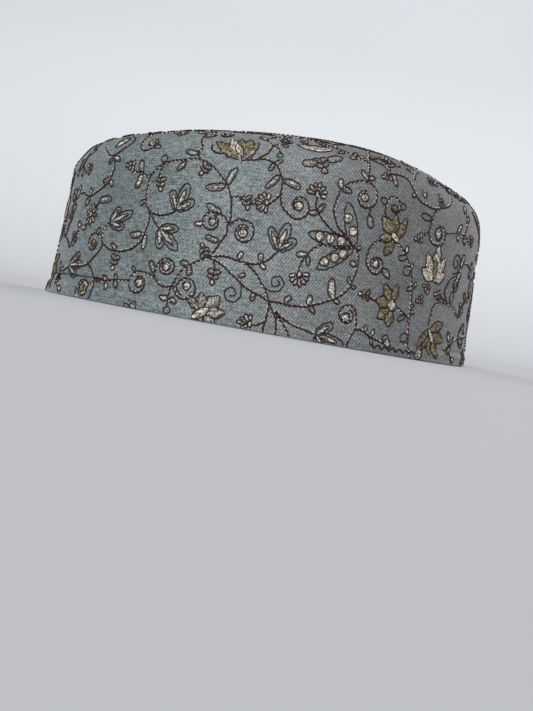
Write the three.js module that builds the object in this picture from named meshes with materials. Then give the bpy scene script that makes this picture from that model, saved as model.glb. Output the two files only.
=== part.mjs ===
// An embroidered round cap, made as one is sewn: a side band that rolls over at the top,
// a domed crown panel set into it, and a dark lining behind each of the two.
// Millimetres, +Z up. The rim's flat edge lies on z = 0 round the origin, and the front faces -X.
import * as THREE from 'three';

const rimRadius = 95;       // outside of the band at the rim, 59 cm round
const wallLean = 0.047;     // how far the wall draws in for each millimetre that it rises
const clothWall = 1.6;      // embroidered cloth with its interfacing
const liningWall = 1.0;
const clearance = 0.3;      // between neighbouring pieces
const foldHeight = 1.8;     // the cloth turned in under the rim, which hides the lining's edge
const edgeRound = 0.8;      // outer corner of the folded rim
const innerEdgeRound = 0.5;
const crownRise = 8;        // from the seam at the sides up to the middle of the crown
const seamTurn = THREE.MathUtils.degToRad(78); // how far the shoulder has rolled over at the seam

const liningDepth = clothWall + clearance;     // outer skin to the lining's near face
const fullDepth = liningDepth + liningWall;    // outer skin to the inside of the cap

const steps = 60;           // round the cap
const wallStations = 3;
const shoulderStations = 6;
const crownStations = 6;
const slopeStep = 0.001;    // share of the crown's radius over which its slope is measured

// The band is lower and turns over more tightly in front than behind.
// wallTop is the height where the shoulder would level out, shoulder its radius.
const sections = {
  front: { wallTop: 67, shoulder: 13 },
  side: { wallTop: 76.5, shoulder: 22.5 },
  back: { wallTop: 79, shoulder: 28 },
};

// Each side of the band is a little flat between two soft bends.
const sideFlat = {
  depth: 2.2,                                  // at the middle of the flat
  halfWidth: THREE.MathUtils.degToRad(23),     // from the middle to each bend
  softness: 0.22,                              // how gently the bends turn
};

// Shallow hollows where the cloth has given way: the angle round the cap, the height of the
// middle, the depth, and the spread round (degrees) and up (millimetres).
const dents = [
  { around: -38, height: 66, depth: 1.4, spreadAround: 13, spreadUp: 12 },
  { around: 52, height: 62, depth: 1.0, spreadAround: 15, spreadUp: 14 },
  { around: 152, height: 40, depth: 0.8, spreadAround: 12, spreadUp: 15 },
];

// Blends a value of the three sections at this facing: -1 in front, 0 at the sides, 1 behind.
function between(valueOf, facing) {
  const [front, side, back] = [sections.front, sections.side, sections.back].map(valueOf);
  return side + ((back - front) / 2) * facing + ((back + front) / 2 - side) * facing ** 2;
}

function seamHeight({ wallTop, shoulder }) {
  return wallTop - shoulder * (1 - Math.sin(seamTurn));
}

// The outline of the rim as seen from above.
function planRadius(angle) {
  const fromSide = Math.asin(Math.abs(Math.cos(angle)));
  const ramp = (1 - (fromSide / sideFlat.halfWidth) ** 2) / sideFlat.softness;
  return rimRadius - sideFlat.depth * sideFlat.softness * Math.log1p(Math.exp(ramp));
}

function dentAt(angle, height) {
  let total = 0;
  for (const dent of dents) {
    const away = THREE.MathUtils.radToDeg(angle) - dent.around;
    const turn = THREE.MathUtils.euclideanModulo(away + 180, 360) - 180;
    const rise = height - dent.height;
    total += dent.depth * Math.exp(-((turn / dent.spreadAround) ** 2) - (rise / dent.spreadUp) ** 2);
  }
  return total;
}

// One side of the cap in section. Each method gives [radius, height] of a place on the outer
// skin, moved in by depth. On the crown, out runs from 0 in the middle to 1 at the seam.
function sectionAt(angle) {
  const facing = Math.cos(angle);
  const shoulder = between((section) => section.shoulder, facing);
  const shoulderBase = between((section) => section.wallTop, facing) - shoulder;
  const radius = planRadius(angle);
  const centre = radius - wallLean * shoulderBase - shoulder;
  const seamRadius = centre + shoulder * Math.cos(seamTurn);
  const crownHeight = (out) => between(seamHeight, facing * out) + crownRise * (1 - out ** 2);
  return {
    shoulderBase,
    wall(height, depth) {
      return [radius - wallLean * height - depth - dentAt(angle, height), height];
    },
    turned(turn, depth) {
      const give = dentAt(angle, shoulderBase + shoulder * Math.sin(turn));
      const reach = shoulder - depth - give;
      return [centre + reach * Math.cos(turn), shoulderBase + reach * Math.sin(turn)];
    },
    crown(out, depth) {
      const height = crownHeight(out);
      const fall = (crownHeight(out - slopeStep) - height) / (slopeStep * seamRadius);
      const slant = Math.hypot(fall, 1);
      const give = dentAt(angle, height) * out;
      return [(seamRadius - (depth * fall) / slant) * out, height - depth / slant - give];
    },
    seamRadius,
  };
}

function spread(count, from, to) {
  return Array.from({ length: count }, (_, i) => from + ((to - from) * i) / (count - 1));
}

// A wall that follows the band from a height on the straight part to the seam.
function bandWall(section, from, near, far, foot) {
  const heights = spread(wallStations, from, section.shoulderBase);
  const turns = spread(shoulderStations + 1, 0, seamTurn).slice(1);
  return [
    ...foot,
    ...heights.map((h) => section.wall(h, near)),
    ...turns.map((t) => section.turned(t, near)),
    ...turns.toReversed().map((t) => section.turned(t, far)),
    ...heights.toReversed().map((h) => section.wall(h, far)),
  ];
}

// A panel that follows the crown from just inside the seam to the middle and back.
function crownWall(section, near, far) {
  const outs = spread(crownStations + 1, 0, 1 - clearance / section.seamRadius);
  return [
    ...outs.map((out) => section.crown(out, far)),
    ...outs.toReversed().map((out) => section.crown(out, near)),
  ];
}

// Joins the sections round the cap into one closed solid. A section that starts and ends
// on the axis gives a panel, and any other section gives a ring.
function wind(profileAt, onAxis) {
  const points = [];
  const rings = [];
  let poles = null;
  for (let i = 0; i < steps; i++) {
    const angle = (2 * Math.PI * i) / steps;
    const profile = profileAt(sectionAt(angle));
    const place = ([radius, height]) => {
      points.push(radius * Math.cos(angle), radius * Math.sin(angle), height);
      return points.length / 3 - 1;
    };
    if (onAxis && !poles) poles = [place(profile[0]), place(profile.at(-1))];
    const ring = (onAxis ? profile.slice(1, -1) : profile).map(place);
    rings.push(onAxis ? [poles[0], ...ring, poles[1]] : [...ring, ring[0]]);
  }
  const faces = [];
  rings.forEach((ring, i) => {
    const next = rings[(i + 1) % steps];
    for (let j = 0; j + 1 < ring.length; j++) {
      const [a, b, c, d] = [ring[j], next[j], next[j + 1], ring[j + 1]];
      if (a !== b) faces.push(a, b, c);
      if (c !== d) faces.push(a, c, d);
    }
  });
  const geometry = new THREE.BufferGeometry();
  geometry.setAttribute('position', new THREE.Float32BufferAttribute(points, 3));
  geometry.setIndex(faces);
  return geometry;
}

// The embroidered side band, with its cloth turned in under the rim.
function sideBand() {
  return wind((section) => {
    const rim = section.wall(0, 0)[0];
    const cornerCut = edgeRound * (1 - Math.SQRT1_2);
    const foot = [
      [rim - fullDepth, foldHeight],
      [rim - fullDepth, innerEdgeRound],
      [rim - fullDepth + innerEdgeRound, 0],
      [rim - edgeRound, 0],
      [rim - cornerCut, cornerCut],
    ];
    const wall = bandWall(section, edgeRound, 0, clothWall, foot);
    wall[wall.length - 1] = section.wall(foldHeight, clothWall);
    return wall;
  }, false);
}

function crownPanel() {
  return wind((section) => crownWall(section, 0, clothWall), true);
}

function sideLining() {
  const foot = foldHeight + clearance;
  return wind((section) => bandWall(section, foot, liningDepth, fullDepth, []), false);
}

function crownLining() {
  return wind((section) => crownWall(section, liningDepth, fullDepth), true);
}

function cloth(color, roughness) {
  return new THREE.MeshStandardMaterial({ color, roughness, metalness: 0 });
}

function piece(name, geometry, material) {
  geometry.computeVertexNormals();
  const mesh = new THREE.Mesh(geometry, material);
  mesh.name = name;
  return mesh;
}

const greyCloth = cloth(0x84898c, 0.85);
const darkLining = cloth(0x1d1e21, 0.8);

const cap = new THREE.Group();
cap.name = 'embroidered_round_cap';
cap.add(piece('side_band', sideBand(), greyCloth));
cap.add(piece('crown_panel', crownPanel(), greyCloth));
cap.add(piece('side_lining', sideLining(), darkLining));
cap.add(piece('crown_lining', crownLining(), darkLining));

export default cap;
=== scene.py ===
import math

import bpy
import numpy as np
from mathutils import Matrix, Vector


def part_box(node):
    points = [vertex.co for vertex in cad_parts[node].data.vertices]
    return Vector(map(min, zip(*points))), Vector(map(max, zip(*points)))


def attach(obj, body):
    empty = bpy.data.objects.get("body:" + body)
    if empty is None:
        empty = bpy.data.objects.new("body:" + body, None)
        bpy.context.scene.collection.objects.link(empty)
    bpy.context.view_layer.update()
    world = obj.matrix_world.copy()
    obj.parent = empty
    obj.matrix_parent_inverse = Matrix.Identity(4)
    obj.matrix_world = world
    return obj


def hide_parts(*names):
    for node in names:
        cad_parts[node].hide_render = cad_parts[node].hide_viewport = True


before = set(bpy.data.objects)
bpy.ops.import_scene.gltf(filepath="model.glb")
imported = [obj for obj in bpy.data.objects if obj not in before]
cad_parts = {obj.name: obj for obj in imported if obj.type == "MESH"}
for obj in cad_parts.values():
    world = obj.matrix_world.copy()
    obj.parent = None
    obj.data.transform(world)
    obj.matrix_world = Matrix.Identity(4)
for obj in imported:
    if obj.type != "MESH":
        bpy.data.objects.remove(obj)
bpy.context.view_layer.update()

mm = 0.001                          # sizes below are in millimetres, and become metres in makeMesh


# The cap's form, which the cloth, the linings and every thread follow

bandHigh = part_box("side_band")[1]
capForm = {
    "rimRadius": round(bandHigh[0] / mm),
    "wallLean": 0.047,              # how far the wall draws in for each mm of rise
    "wallTop": (67.0, 76.5, 79.0),  # where the shoulder would level out: front, side, back
    "shoulder": (13.0, 22.5, 28.0), # its radius at the same three places
    "seamTurn": math.radians(78),   # how far the shoulder has rolled over at the crown's seam
    "crownRise": 8.0,
    "clothWall": 1.6,
    "liningWall": 1.0,
    "gap": 0.3,
    "foldHeight": 1.8,              # cloth turned in under the rim
}

sideFlat = {"depth": 2.2, "halfWidth": math.radians(23), "softness": 0.22}

# angle round the cap, height, depth, spread round (degrees), spread up
dents = [
    (-38, 66, 1.4, 13, 12),
    (52, 62, 1.0, 15, 14),
    (152, 40, 0.8, 12, 15),
]

clothEase = {
    "hemRise": 5.7,                 # the pressed line of the hem
    "hemWander": 0.5,               # and how far that line rises and falls
    "hemDepth": 0.40,
    "hemWidth": 0.75,
    "hemRoll": 0.34,                # the turned-in edge makes it thicker just below the line
    "rollBelow": 1.9,
    "rollWidth": 1.5,
    "hemFlare": 1.1,                # the front of the rim stands out below that line
    "rimRipple": 0.14,
    "seamPucker": 0.16,             # the band is gathered a little where the crown is set in
    "puckerWidth": 5.5,
    "seamDip": 0.5,                 # both cloths turn down into the seam
    "dipWidth": 0.8,
    "backJoin": 0.55,               # the band's own seam, up the middle of the back
    "joinWidth": 0.9,
    "slack": 0.30,                  # slow waves in the wall
    "slump": (0.5, 0.9, 1.6),       # the shoulder sinks near the seam: front, side, back
    "slumpTurn": (1.08, 0.34),      # how far it has rolled over there, and how wide that is
    "fullness": (-0.8, 0.0, 1.0),   # and at its bend it lies lower in front and fuller behind
    "fullTurn": (0.55, 0.25),
}

crownEase = {
    "pucker": 0.12,
    "puckerWidth": 5.0,
    "dipWidth": 0.9,
    "slack": 0.35,                  # slow waves,
    "slackFrom": 15.0,              # at their full height this far inside the seam
    "slumpWidth": 9.0,              # the shoulder's slump carries on this far into the crown
}

# waves round the seam: how many, where they start, and their share
gathers = [(61, 0.0, 1.0), (83, 1.7, 0.7), (37, 0.0, 0.4)]


def between(values, facing):
    front, side, back = values      # facing is -1 in front, 0 at the sides, 1 behind
    return side + (back - front) / 2 * facing + ((back + front) / 2 - side) * facing ** 2


def planRadius(angle):
    fromSide = np.arcsin(np.clip(np.abs(np.cos(angle)), 0, 1))
    ramp = (1 - (fromSide / sideFlat["halfWidth"]) ** 2) / sideFlat["softness"]
    return capForm["rimRadius"] - sideFlat["depth"] * sideFlat["softness"] * np.log1p(np.exp(ramp))


def dentAt(angle, height):
    total = 0
    for around, middle, depth, spreadRound, spreadUp in dents:
        turn = (np.degrees(angle) - around + 180) % 360 - 180
        total = total + depth * np.exp(-(turn / spreadRound) ** 2 - ((height - middle) / spreadUp) ** 2)
    return total


def seamHeights():
    fall = 1 - math.sin(capForm["seamTurn"])
    return [top - radius * fall for top, radius in zip(capForm["wallTop"], capForm["shoulder"])]


def sectionAt(angle):
    facing = np.cos(angle)
    shoulder = between(capForm["shoulder"], facing)
    base = between(capForm["wallTop"], facing) - shoulder
    centre = planRadius(angle) - capForm["wallLean"] * base - shoulder
    return {
        "facing": facing,
        "shoulder": shoulder,
        "base": base,
        "centre": centre,
        "seamRadius": centre + shoulder * math.cos(capForm["seamTurn"]),
        "seamRise": base + shoulder * capForm["seamTurn"],
    }


# 1 along the middle of a ridge or groove, and less to either side of it
def ridge(away, width):
    return np.exp(-(away / width) ** 2)


# How far the rolled-over cloth has settled; turn is how far the shoulder has rolled over there
def settledAt(turn, facing):
    slumpTurn, slumpWidth = clothEase["slumpTurn"]
    fullTurn, fullWidth = clothEase["fullTurn"]
    slump = between(clothEase["slump"], facing) * ridge(turn - slumpTurn, slumpWidth)
    return slump - between(clothEase["fullness"], facing) * ridge(turn - fullTurn, fullWidth)


# Small ins and outs of the cloth that a stiff pattern piece wouldn't have. The numbers of the
# waves round the cap, and where they start, only keep them from looking regular
def easeAt(angle, rise, section):
    cloth = clothEase
    slackWave = np.sin(3 * angle + 0.6) * np.sin(rise / 17)
    slackWave = slackWave + 0.7 * np.sin(7 * angle + 2.1) * np.cos(rise / 23 + 1)
    ease = cloth["slack"] * slackWave
    toSeam = section["seamRise"] - rise
    pucker = sum(share * np.sin(count * angle + start) for count, start, share in gathers)
    ease = ease + cloth["seamPucker"] * pucker * ridge(toSeam, cloth["puckerWidth"])
    ease = ease - cloth["seamDip"] * ridge(toSeam, cloth["dipWidth"])
    fromHem = rise - cloth["hemRise"] - cloth["hemWander"] * np.sin(2 * angle + 0.7)
    ease = ease - cloth["hemDepth"] * ridge(fromHem, cloth["hemWidth"])
    ease = ease + cloth["hemRoll"] * ridge(fromHem + cloth["rollBelow"], cloth["rollWidth"])
    below = np.clip(-fromHem / cloth["hemRise"], 0, 1.2)
    ease = ease + cloth["hemFlare"] * below ** 1.6 * np.clip(-section["facing"], 0, 1) ** 3
    ease = ease + cloth["rimRipple"] * below * np.sin(47 * angle + 0.4) * np.sin(19 * angle)
    fromBack = (angle + math.pi) % (2 * math.pi) - math.pi
    ease = ease - cloth["backJoin"] * ridge(fromBack * capForm["rimRadius"], cloth["joinWidth"])
    return ease - settledAt((rise - section["base"]) / section["shoulder"], section["facing"])


# A chart place on the band: around is mm round the rim from the near side, rise is mm up the skin
def bandSkin(around, rise, proud=0.0):
    angle = np.asarray(around) / capForm["rimRadius"] - math.pi / 2
    section = sectionAt(angle)
    turn = np.clip((rise - section["base"]) / section["shoulder"], 0, math.pi / 2)
    height = np.where(rise < section["base"], rise, section["base"] + section["shoulder"] * np.sin(turn))
    out = proud + easeAt(angle, rise, section) - dentAt(angle, height)
    wallRadius = planRadius(angle) - capForm["wallLean"] * rise + out
    reach = section["shoulder"] + out
    onWall = rise < section["base"]
    radius = np.where(onWall, wallRadius, section["centre"] + reach * np.cos(turn))
    height = np.where(onWall, rise, section["base"] + reach * np.sin(turn))
    return np.stack([radius * np.cos(angle), radius * np.sin(angle), height], -1)


# A place on the crown, seen from above
def crownSkin(x, y, proud):
    angle = np.arctan2(y, x)
    section = sectionAt(angle)

    def heightAt(share):
        seamHeight = between(seamHeights(), section["facing"] * share)
        return seamHeight + capForm["crownRise"] * (1 - share ** 2)

    cloth = crownEase
    out = np.hypot(x, y) / section["seamRadius"]
    height = heightAt(out)
    slopeStep = 0.001               # share of the radius over which the slope is measured
    fall = (heightAt(out - slopeStep) - height) / (slopeStep * section["seamRadius"])
    slant = np.hypot(fall, 1)
    toSeam = (1 - out) * section["seamRadius"]
    ease = -clothEase["seamDip"] * ridge(toSeam, cloth["dipWidth"])
    ease = ease + cloth["pucker"] * np.sin(53 * angle) * ridge(toSeam, cloth["puckerWidth"])
    slackWave = cloth["slack"] * np.sin(x / 21 + 0.5) * np.cos(y / 26 + 0.9)
    ease = ease + slackWave * np.clip(toSeam / cloth["slackFrom"], 0, 1)
    slump = settledAt(capForm["seamTurn"], section["facing"])
    ease = ease - slump * ridge(toSeam, cloth["slumpWidth"])
    give = dentAt(angle, height) * out
    lift = proud + ease
    radius = np.hypot(x, y) + lift * fall / slant
    return np.stack([radius * np.cos(angle), radius * np.sin(angle), height - give + lift / slant], -1)


# Meshes

def makeMesh(name, points, faces, material, cornerUv=None):
    mesh = bpy.data.meshes.new(name)
    mesh.vertices.add(len(points))
    mesh.vertices.foreach_set("co", (np.asarray(points, float) * mm).ravel())
    sizes = [len(face) for face in faces] if isinstance(faces, list) else [faces.shape[1]] * len(faces)
    corners = np.concatenate(faces) if isinstance(faces, list) else faces.ravel()
    mesh.loops.add(len(corners))
    mesh.loops.foreach_set("vertex_index", corners.astype(np.int32))
    mesh.polygons.add(len(sizes))
    mesh.polygons.foreach_set("loop_start", (np.cumsum(sizes) - sizes).astype(np.int32))
    mesh.update(calc_edges=True)
    if cornerUv is not None:
        layer = mesh.uv_layers.new(name="clothGrid")
        layer.data.foreach_set("uv", np.asarray(cornerUv, float).ravel())
    mesh.validate()
    mesh.shade_smooth()
    mesh.materials.append(material)
    piece = bpy.data.objects.new(name, mesh)
    bpy.context.scene.collection.objects.link(piece)
    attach(piece, "root")
    return piece


# Joins rings of equal length into a closed wall, the last ring to the first
def ringWall(rings, columnUv, rowUv):
    count = len(rings[0])
    faces = []
    cornerUv = []
    rows = len(rings)
    for row in range(rows):
        column = np.arange(count)
        after = (column + 1) % count
        above = (row + 1) % rows
        faces.append(np.stack([row * count + column, row * count + after,
                               above * count + after, above * count + column], 1))
        low, high = rowUv[row], rowUv[above]
        uv = np.stack([columnUv[:-1], np.full(count, low), columnUv[1:], np.full(count, low),
                       columnUv[1:], np.full(count, high), columnUv[:-1], np.full(count, high)], 1)
        cornerUv.append(uv.reshape(-1, 2))
    return np.vstack(rings), np.vstack(faces), np.vstack(cornerUv)


# Materials

def linearColour(hexCode):
    parts = [int(hexCode[i:i + 2], 16) / 255 for i in (1, 3, 5)]
    return [part / 12.92 if part <= 0.04045 else ((part + 0.055) / 1.055) ** 2.4 for part in parts] + [1]


def addNode(tree, kind, values=None, links=None, **settings):
    node = tree.nodes.new(kind)
    for name, setting in settings.items():
        setattr(node, name, setting)
    for socket, value in (values or {}).items():
        node.inputs[socket].default_value = value
    for socket, source in (links or {}).items():
        tree.links.new(source, node.inputs[socket])
    return node


def newMaterial(name):
    material = bpy.data.materials.new(name)
    material.use_nodes = True
    tree = material.node_tree
    tree.nodes.clear()
    return material, tree


uvLength = 100.0                    # mm of cloth to one unit of the clothGrid map
waveLength = math.pi / 10           # distance between crests of a Wave Texture of scale 1
mixFirst, mixSecond, mixResult = 6, 7, 2    # the colour sockets of a Mix node

shotCottonTwill = {
    "paleYarn": "#A5B1B2",
    "deepYarn": "#2B3538",
    "mauveYarn": "#79696C",
    "ribPitch": 1.0,                # drawn twice as coarse as real twill, so that it shows
    "ribAngle": 58,
    "relief": 0.14,
    "slubLength": 4.0,
    "yarnPitch": 0.55,              # coarser than the real yarn, for the same reason
    "speckSize": 0.9,               # a fleck of the mauve yarn
    "patchSize": 20,                # a patch that the dye took a little more or less
    "shadeLength": 119.4,           # painted shade: the colour darkens and pales five times round the band,
    "shadeCrest": -8.0,             # palest here,
    "paintedShadeLoss": 0.25,              # and this much darker between
    "hueLength": 298.4,             # and the mauve yarn comes up twice
    "hueCrest": 60.0,
    "roughness": 0.86,
    "sheen": 0.10,
}


# Shot cotton twill, woven from dyed yarns and pressed: slanting ribs, a blue-grey and a mauve yarn
# that mix to a cool grey and change places slowly along the cloth, stray slubs both ways, and a
# dry nap that lightens at grazing angles. Its colour is also darkened in slow swings along the cloth,
# which is painted shade standing in for where the light falls away
def shotTwillMaterial(cloth):
    material, tree = newMaterial("shot cotton twill")
    grid = addNode(tree, "ShaderNodeUVMap", uv_map="clothGrid")

    # the shade swing gives painted shade, the hue swing brings up the mauve yarn
    swings = []
    for kind in ("shade", "hue"):
        length, crest = cloth[kind + "Length"], cloth[kind + "Crest"]
        swing = addNode(tree, "ShaderNodeTexWave",
                        {"Scale": waveLength * uvLength / length, "Distortion": 0.0,
                         "Phase Offset": math.pi - 2 * math.pi * crest / length},
                        {"Vector": grid.outputs["UV"]}, wave_type="BANDS", bands_direction="X")
        swings.append(swing.outputs["Fac"])
    paintedShadeSwing, hueSwing = swings

    slub, pitch = cloth["slubLength"], cloth["yarnPitch"]
    streaks = []
    for across, along in ((slub, pitch), (pitch, slub / 2)):
        place = addNode(tree, "ShaderNodeMapping", {"Scale": (uvLength / across, uvLength / along, 1)},
                        {"Vector": grid.outputs["UV"]})
        streak = addNode(tree, "ShaderNodeTexNoise", {"Scale": 1.0, "Detail": 3.0},
                         {"Vector": place.outputs["Vector"]})
        streaks.append(streak.outputs["Fac"])
    yarnSum = addNode(tree, "ShaderNodeMath", links={0: streaks[0], 1: streaks[1]}, operation="ADD")

    turned = addNode(tree, "ShaderNodeMapping", {"Rotation": (0, 0, -math.radians(cloth["ribAngle"]))},
                     {"Vector": grid.outputs["UV"]})
    ribs = addNode(tree, "ShaderNodeTexWave",
                   {"Scale": waveLength * uvLength / cloth["ribPitch"], "Distortion": 1.9,
                    "Detail": 2.0, "Detail Scale": 0.4, "Detail Roughness": 0.65},
                   {"Vector": turned.outputs["Vector"]}, wave_type="BANDS", bands_direction="Y")
    speck = addNode(tree, "ShaderNodeTexNoise", {"Scale": uvLength / cloth["speckSize"], "Detail": 2.0},
                    {"Vector": grid.outputs["UV"]})
    patch = addNode(tree, "ShaderNodeTexNoise", {"Scale": uvLength / cloth["patchSize"], "Detail": 2.0},
                    {"Vector": grid.outputs["UV"]})

    yarnShade = addNode(tree, "ShaderNodeMapRange",
                        {"From Min": 0.80, "From Max": 1.20}, {"Value": yarnSum.outputs["Value"]})
    ribShare = addNode(tree, "ShaderNodeMapRange", {"From Min": 0.45, "To Min": 0.34, "To Max": 0.54},
                       {"Value": hueSwing})
    ribShade = addNode(tree, "ShaderNodeMix", links={"Factor": ribShare.outputs["Result"],
                       "A": yarnShade.outputs["Result"], "B": ribs.outputs["Fac"]}, data_type="FLOAT")
    yarnMix = addNode(tree, "ShaderNodeMix",
                      {mixFirst: linearColour(cloth["deepYarn"]), mixSecond: linearColour(cloth["paleYarn"])},
                      {"Factor": ribShade.outputs["Result"]}, data_type="RGBA")

    speckShare = addNode(tree, "ShaderNodeMapRange", {"From Min": 0.42, "From Max": 0.62},
                         {"Value": speck.outputs["Fac"]})
    mauveShare = addNode(tree, "ShaderNodeMapRange", {"To Min": 0.12, "To Max": 0.86}, {"Value": hueSwing})
    shotShare = addNode(tree, "ShaderNodeMath",
                        links={0: speckShare.outputs["Result"], 1: mauveShare.outputs["Result"]},
                        operation="MULTIPLY")
    shotMix = addNode(tree, "ShaderNodeMix", {mixSecond: linearColour(cloth["mauveYarn"])},
                      {"Factor": shotShare.outputs["Value"], mixFirst: yarnMix.outputs[mixResult]},
                      data_type="RGBA")

    patchShade = addNode(tree, "ShaderNodeMapRange",
                         {"From Min": 0.3, "From Max": 0.7, "To Min": 0.88, "To Max": 1.12},
                         {"Value": patch.outputs["Fac"]})
    # painted shade: darker in the troughs of the slow swing, where the light falls away
    paintedShadeScale = addNode(tree, "ShaderNodeMapRange", {"To Min": 1 - cloth["paintedShadeLoss"]},
                         {"Value": paintedShadeSwing})
    # the dye patches, times the painted shade of the swing
    shade = addNode(tree, "ShaderNodeMath",
                    links={0: patchShade.outputs["Result"], 1: paintedShadeScale.outputs["Result"]},
                    operation="MULTIPLY")
    colour = addNode(tree, "ShaderNodeVectorMath",
                     links={0: shotMix.outputs[mixResult], "Scale": shade.outputs["Value"]},
                     operation="SCALE")

    relief = addNode(tree, "ShaderNodeMath",
                     links={0: ribs.outputs["Fac"], 1: yarnSum.outputs["Value"]}, operation="ADD")
    bump = addNode(tree, "ShaderNodeBump", {"Strength": 0.6, "Distance": cloth["relief"] * mm},
                   {"Height": relief.outputs["Value"]})
    shader = addNode(tree, "ShaderNodeBsdfPrincipled",
                     {"Roughness": cloth["roughness"], "IOR": 1.45, "Sheen Weight": cloth["sheen"],
                      "Sheen Roughness": 0.5, "Specular IOR Level": 0.25},
                     {"Base Color": colour.outputs["Vector"], "Normal": bump.outputs["Normal"]})
    addNode(tree, "ShaderNodeOutputMaterial", links={"Surface": shader.outputs["BSDF"]})
    return material


blackCottonLawn = {
    "deepYarn": "#141519",
    "paleYarn": "#24262C",
    "yarnPitch": 0.5,               # coarser than real lawn, so that it shows
    "relief": 0.08,
    "roughness": 0.8,
}


# Plain black cotton lawn: a fine square weave with almost no shine
def liningMaterial(cloth):
    material, tree = newMaterial("plain black cotton lawn")
    grid = addNode(tree, "ShaderNodeUVMap", uv_map="clothGrid")
    heights = []
    for direction in ("X", "Y"):
        yarn = addNode(tree, "ShaderNodeTexWave",
                       {"Scale": waveLength * uvLength / cloth["yarnPitch"], "Distortion": 0.6},
                       {"Vector": grid.outputs["UV"]}, wave_type="BANDS", bands_direction=direction)
        heights.append(yarn.outputs["Fac"])
    weave = addNode(tree, "ShaderNodeMath", links={0: heights[0], 1: heights[1]}, operation="MULTIPLY")
    colour = addNode(tree, "ShaderNodeMix",
                     {mixFirst: linearColour(cloth["deepYarn"]), mixSecond: linearColour(cloth["paleYarn"])},
                     {"Factor": weave.outputs["Value"]}, data_type="RGBA")
    bump = addNode(tree, "ShaderNodeBump", {"Strength": 0.4, "Distance": cloth["relief"] * mm},
                   {"Height": weave.outputs["Value"]})
    shader = addNode(tree, "ShaderNodeBsdfPrincipled",
                     {"Roughness": cloth["roughness"], "IOR": 1.45, "Specular IOR Level": 0.3},
                     {"Base Color": colour.outputs[mixResult], "Normal": bump.outputs["Normal"]})
    addNode(tree, "ShaderNodeOutputMaterial", links={"Surface": shader.outputs["BSDF"]})
    return material


# Embroidery yarns: their deep and their pale shade, whose flecks are painted glints, how rough they
# are, and the height of the noise, from 0 to 1, over which the deep shade passes into the pale one
yarnShades = {
    "maroon rayon": ("#14090C", "#4A2C32", 0.50, (0.45, 0.70)),
    "beige rayon": ("#5E4A4E", "#D9C9BF", 0.45, (0.41, 0.58)),
    "cream rayon": ("#5C5249", "#E8DFCE", 0.42, (0.43, 0.62)),
    "silver metallised polyester": ("#464242", "#B9B1A8", 0.42, (0.43, 0.66)),
    "old gold metallised polyester": ("#38332A", "#A89B76", 0.42, (0.42, 0.70)),
}
paintedGlint = {"length": 0.8, "relief": 0.08}     # a little coarser than a real glint, so that it shows


# Twisted embroidery yarn with painted glints: short flecks of the pale shade mixed into the deep one by noise
def yarnMaterial(name):
    deep, pale, roughness, passing = yarnShades[name]
    material, tree = newMaterial(name + " embroidery yarn")
    place = addNode(tree, "ShaderNodeTexCoord")
    glintNoise = addNode(tree, "ShaderNodeTexNoise",
                    {"Scale": 1 / (paintedGlint["length"] * mm), "Detail": 2.0, "Roughness": 0.6},
                    {"Vector": place.outputs["Object"]})
    # painted glints: where the noise is high, the yarn's colour turns to its pale shade
    share = addNode(tree, "ShaderNodeMapRange", {"From Min": passing[0], "From Max": passing[1]},
                    {"Value": glintNoise.outputs["Fac"]})
    colour = addNode(tree, "ShaderNodeMix", {mixFirst: linearColour(deep), mixSecond: linearColour(pale)},
                     {"Factor": share.outputs["Result"]}, data_type="RGBA")
    bump = addNode(tree, "ShaderNodeBump", {"Strength": 0.35, "Distance": paintedGlint["relief"] * mm},
                   {"Height": glintNoise.outputs["Fac"]})
    shader = addNode(tree, "ShaderNodeBsdfPrincipled",
                     {"Roughness": roughness, "IOR": 1.5, "Specular IOR Level": 0.32},
                     {"Base Color": colour.outputs[mixResult], "Normal": bump.outputs["Normal"]})
    addNode(tree, "ShaderNodeOutputMaterial", links={"Surface": shader.outputs["BSDF"]})
    return material


twill = shotTwillMaterial(shotCottonTwill)
lawn = liningMaterial(blackCottonLawn)
yarns = {name: yarnMaterial(name) for name in yarnShades}
print("materials made")


# The four cloth pieces

clothGrid = {
    "columns": 398,                 # round the cap
    "hemStep": 0.42,                # mm between the rings near the rim, which show the hem's line
    "hemTop": 9.0,
    "wallShares": (0.1125, 0.94),   # then shares of the way up to the seam,
    "wallRings": 40,
    "seamShares": (0.95, 1.0),      # and closer rings for the dip into it
    "seamRings": 10,
    "insideShares": (1.0, 0.9, 0.8, 0.68, 0.5, 0.25),
    "skinRise": 83.0,               # about the mm of cloth from the rim to the seam, for the map
}
crownGrid = {"columns": 180, "rings": 34, "ringsUnder": 14, "hub": 0.012}
liningGrid = {
    "columns": 132,
    "rings": 26,
    "hiddenEvery": 4,               # the side against the cloth needs few rings,
    "hiddenFrom": 1.2,              # and its map starts here, in rises of the skin
    "crownColumns": 96,
    "crownRings": 22,
    "clear": 0.25,                  # above the cloth's fold
}

# the turned-in edge: mm in from the inside of the cap or from its outside, mm up, mm along the cloth
foldInside = [(0, capForm["foldHeight"], -4.0), (0, 0.5, -2.8), (0.15, 0.15, -2.5), (0.5, 0, -2.2)]
foldOutside = [(0.8, 0, -0.8), (0.35, 0.1, -0.4), (0.1, 0.35, 0.1)]

circumference = 2 * math.pi * capForm["rimRadius"]
backStart = circumference / 4       # the rings start and end at the middle of the back


def columnsOf(count):
    return backStart + np.arange(count + 1) / count * circumference


def seamRiseAt(around):
    return sectionAt(around / capForm["rimRadius"] - math.pi / 2)["seamRise"]


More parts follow.
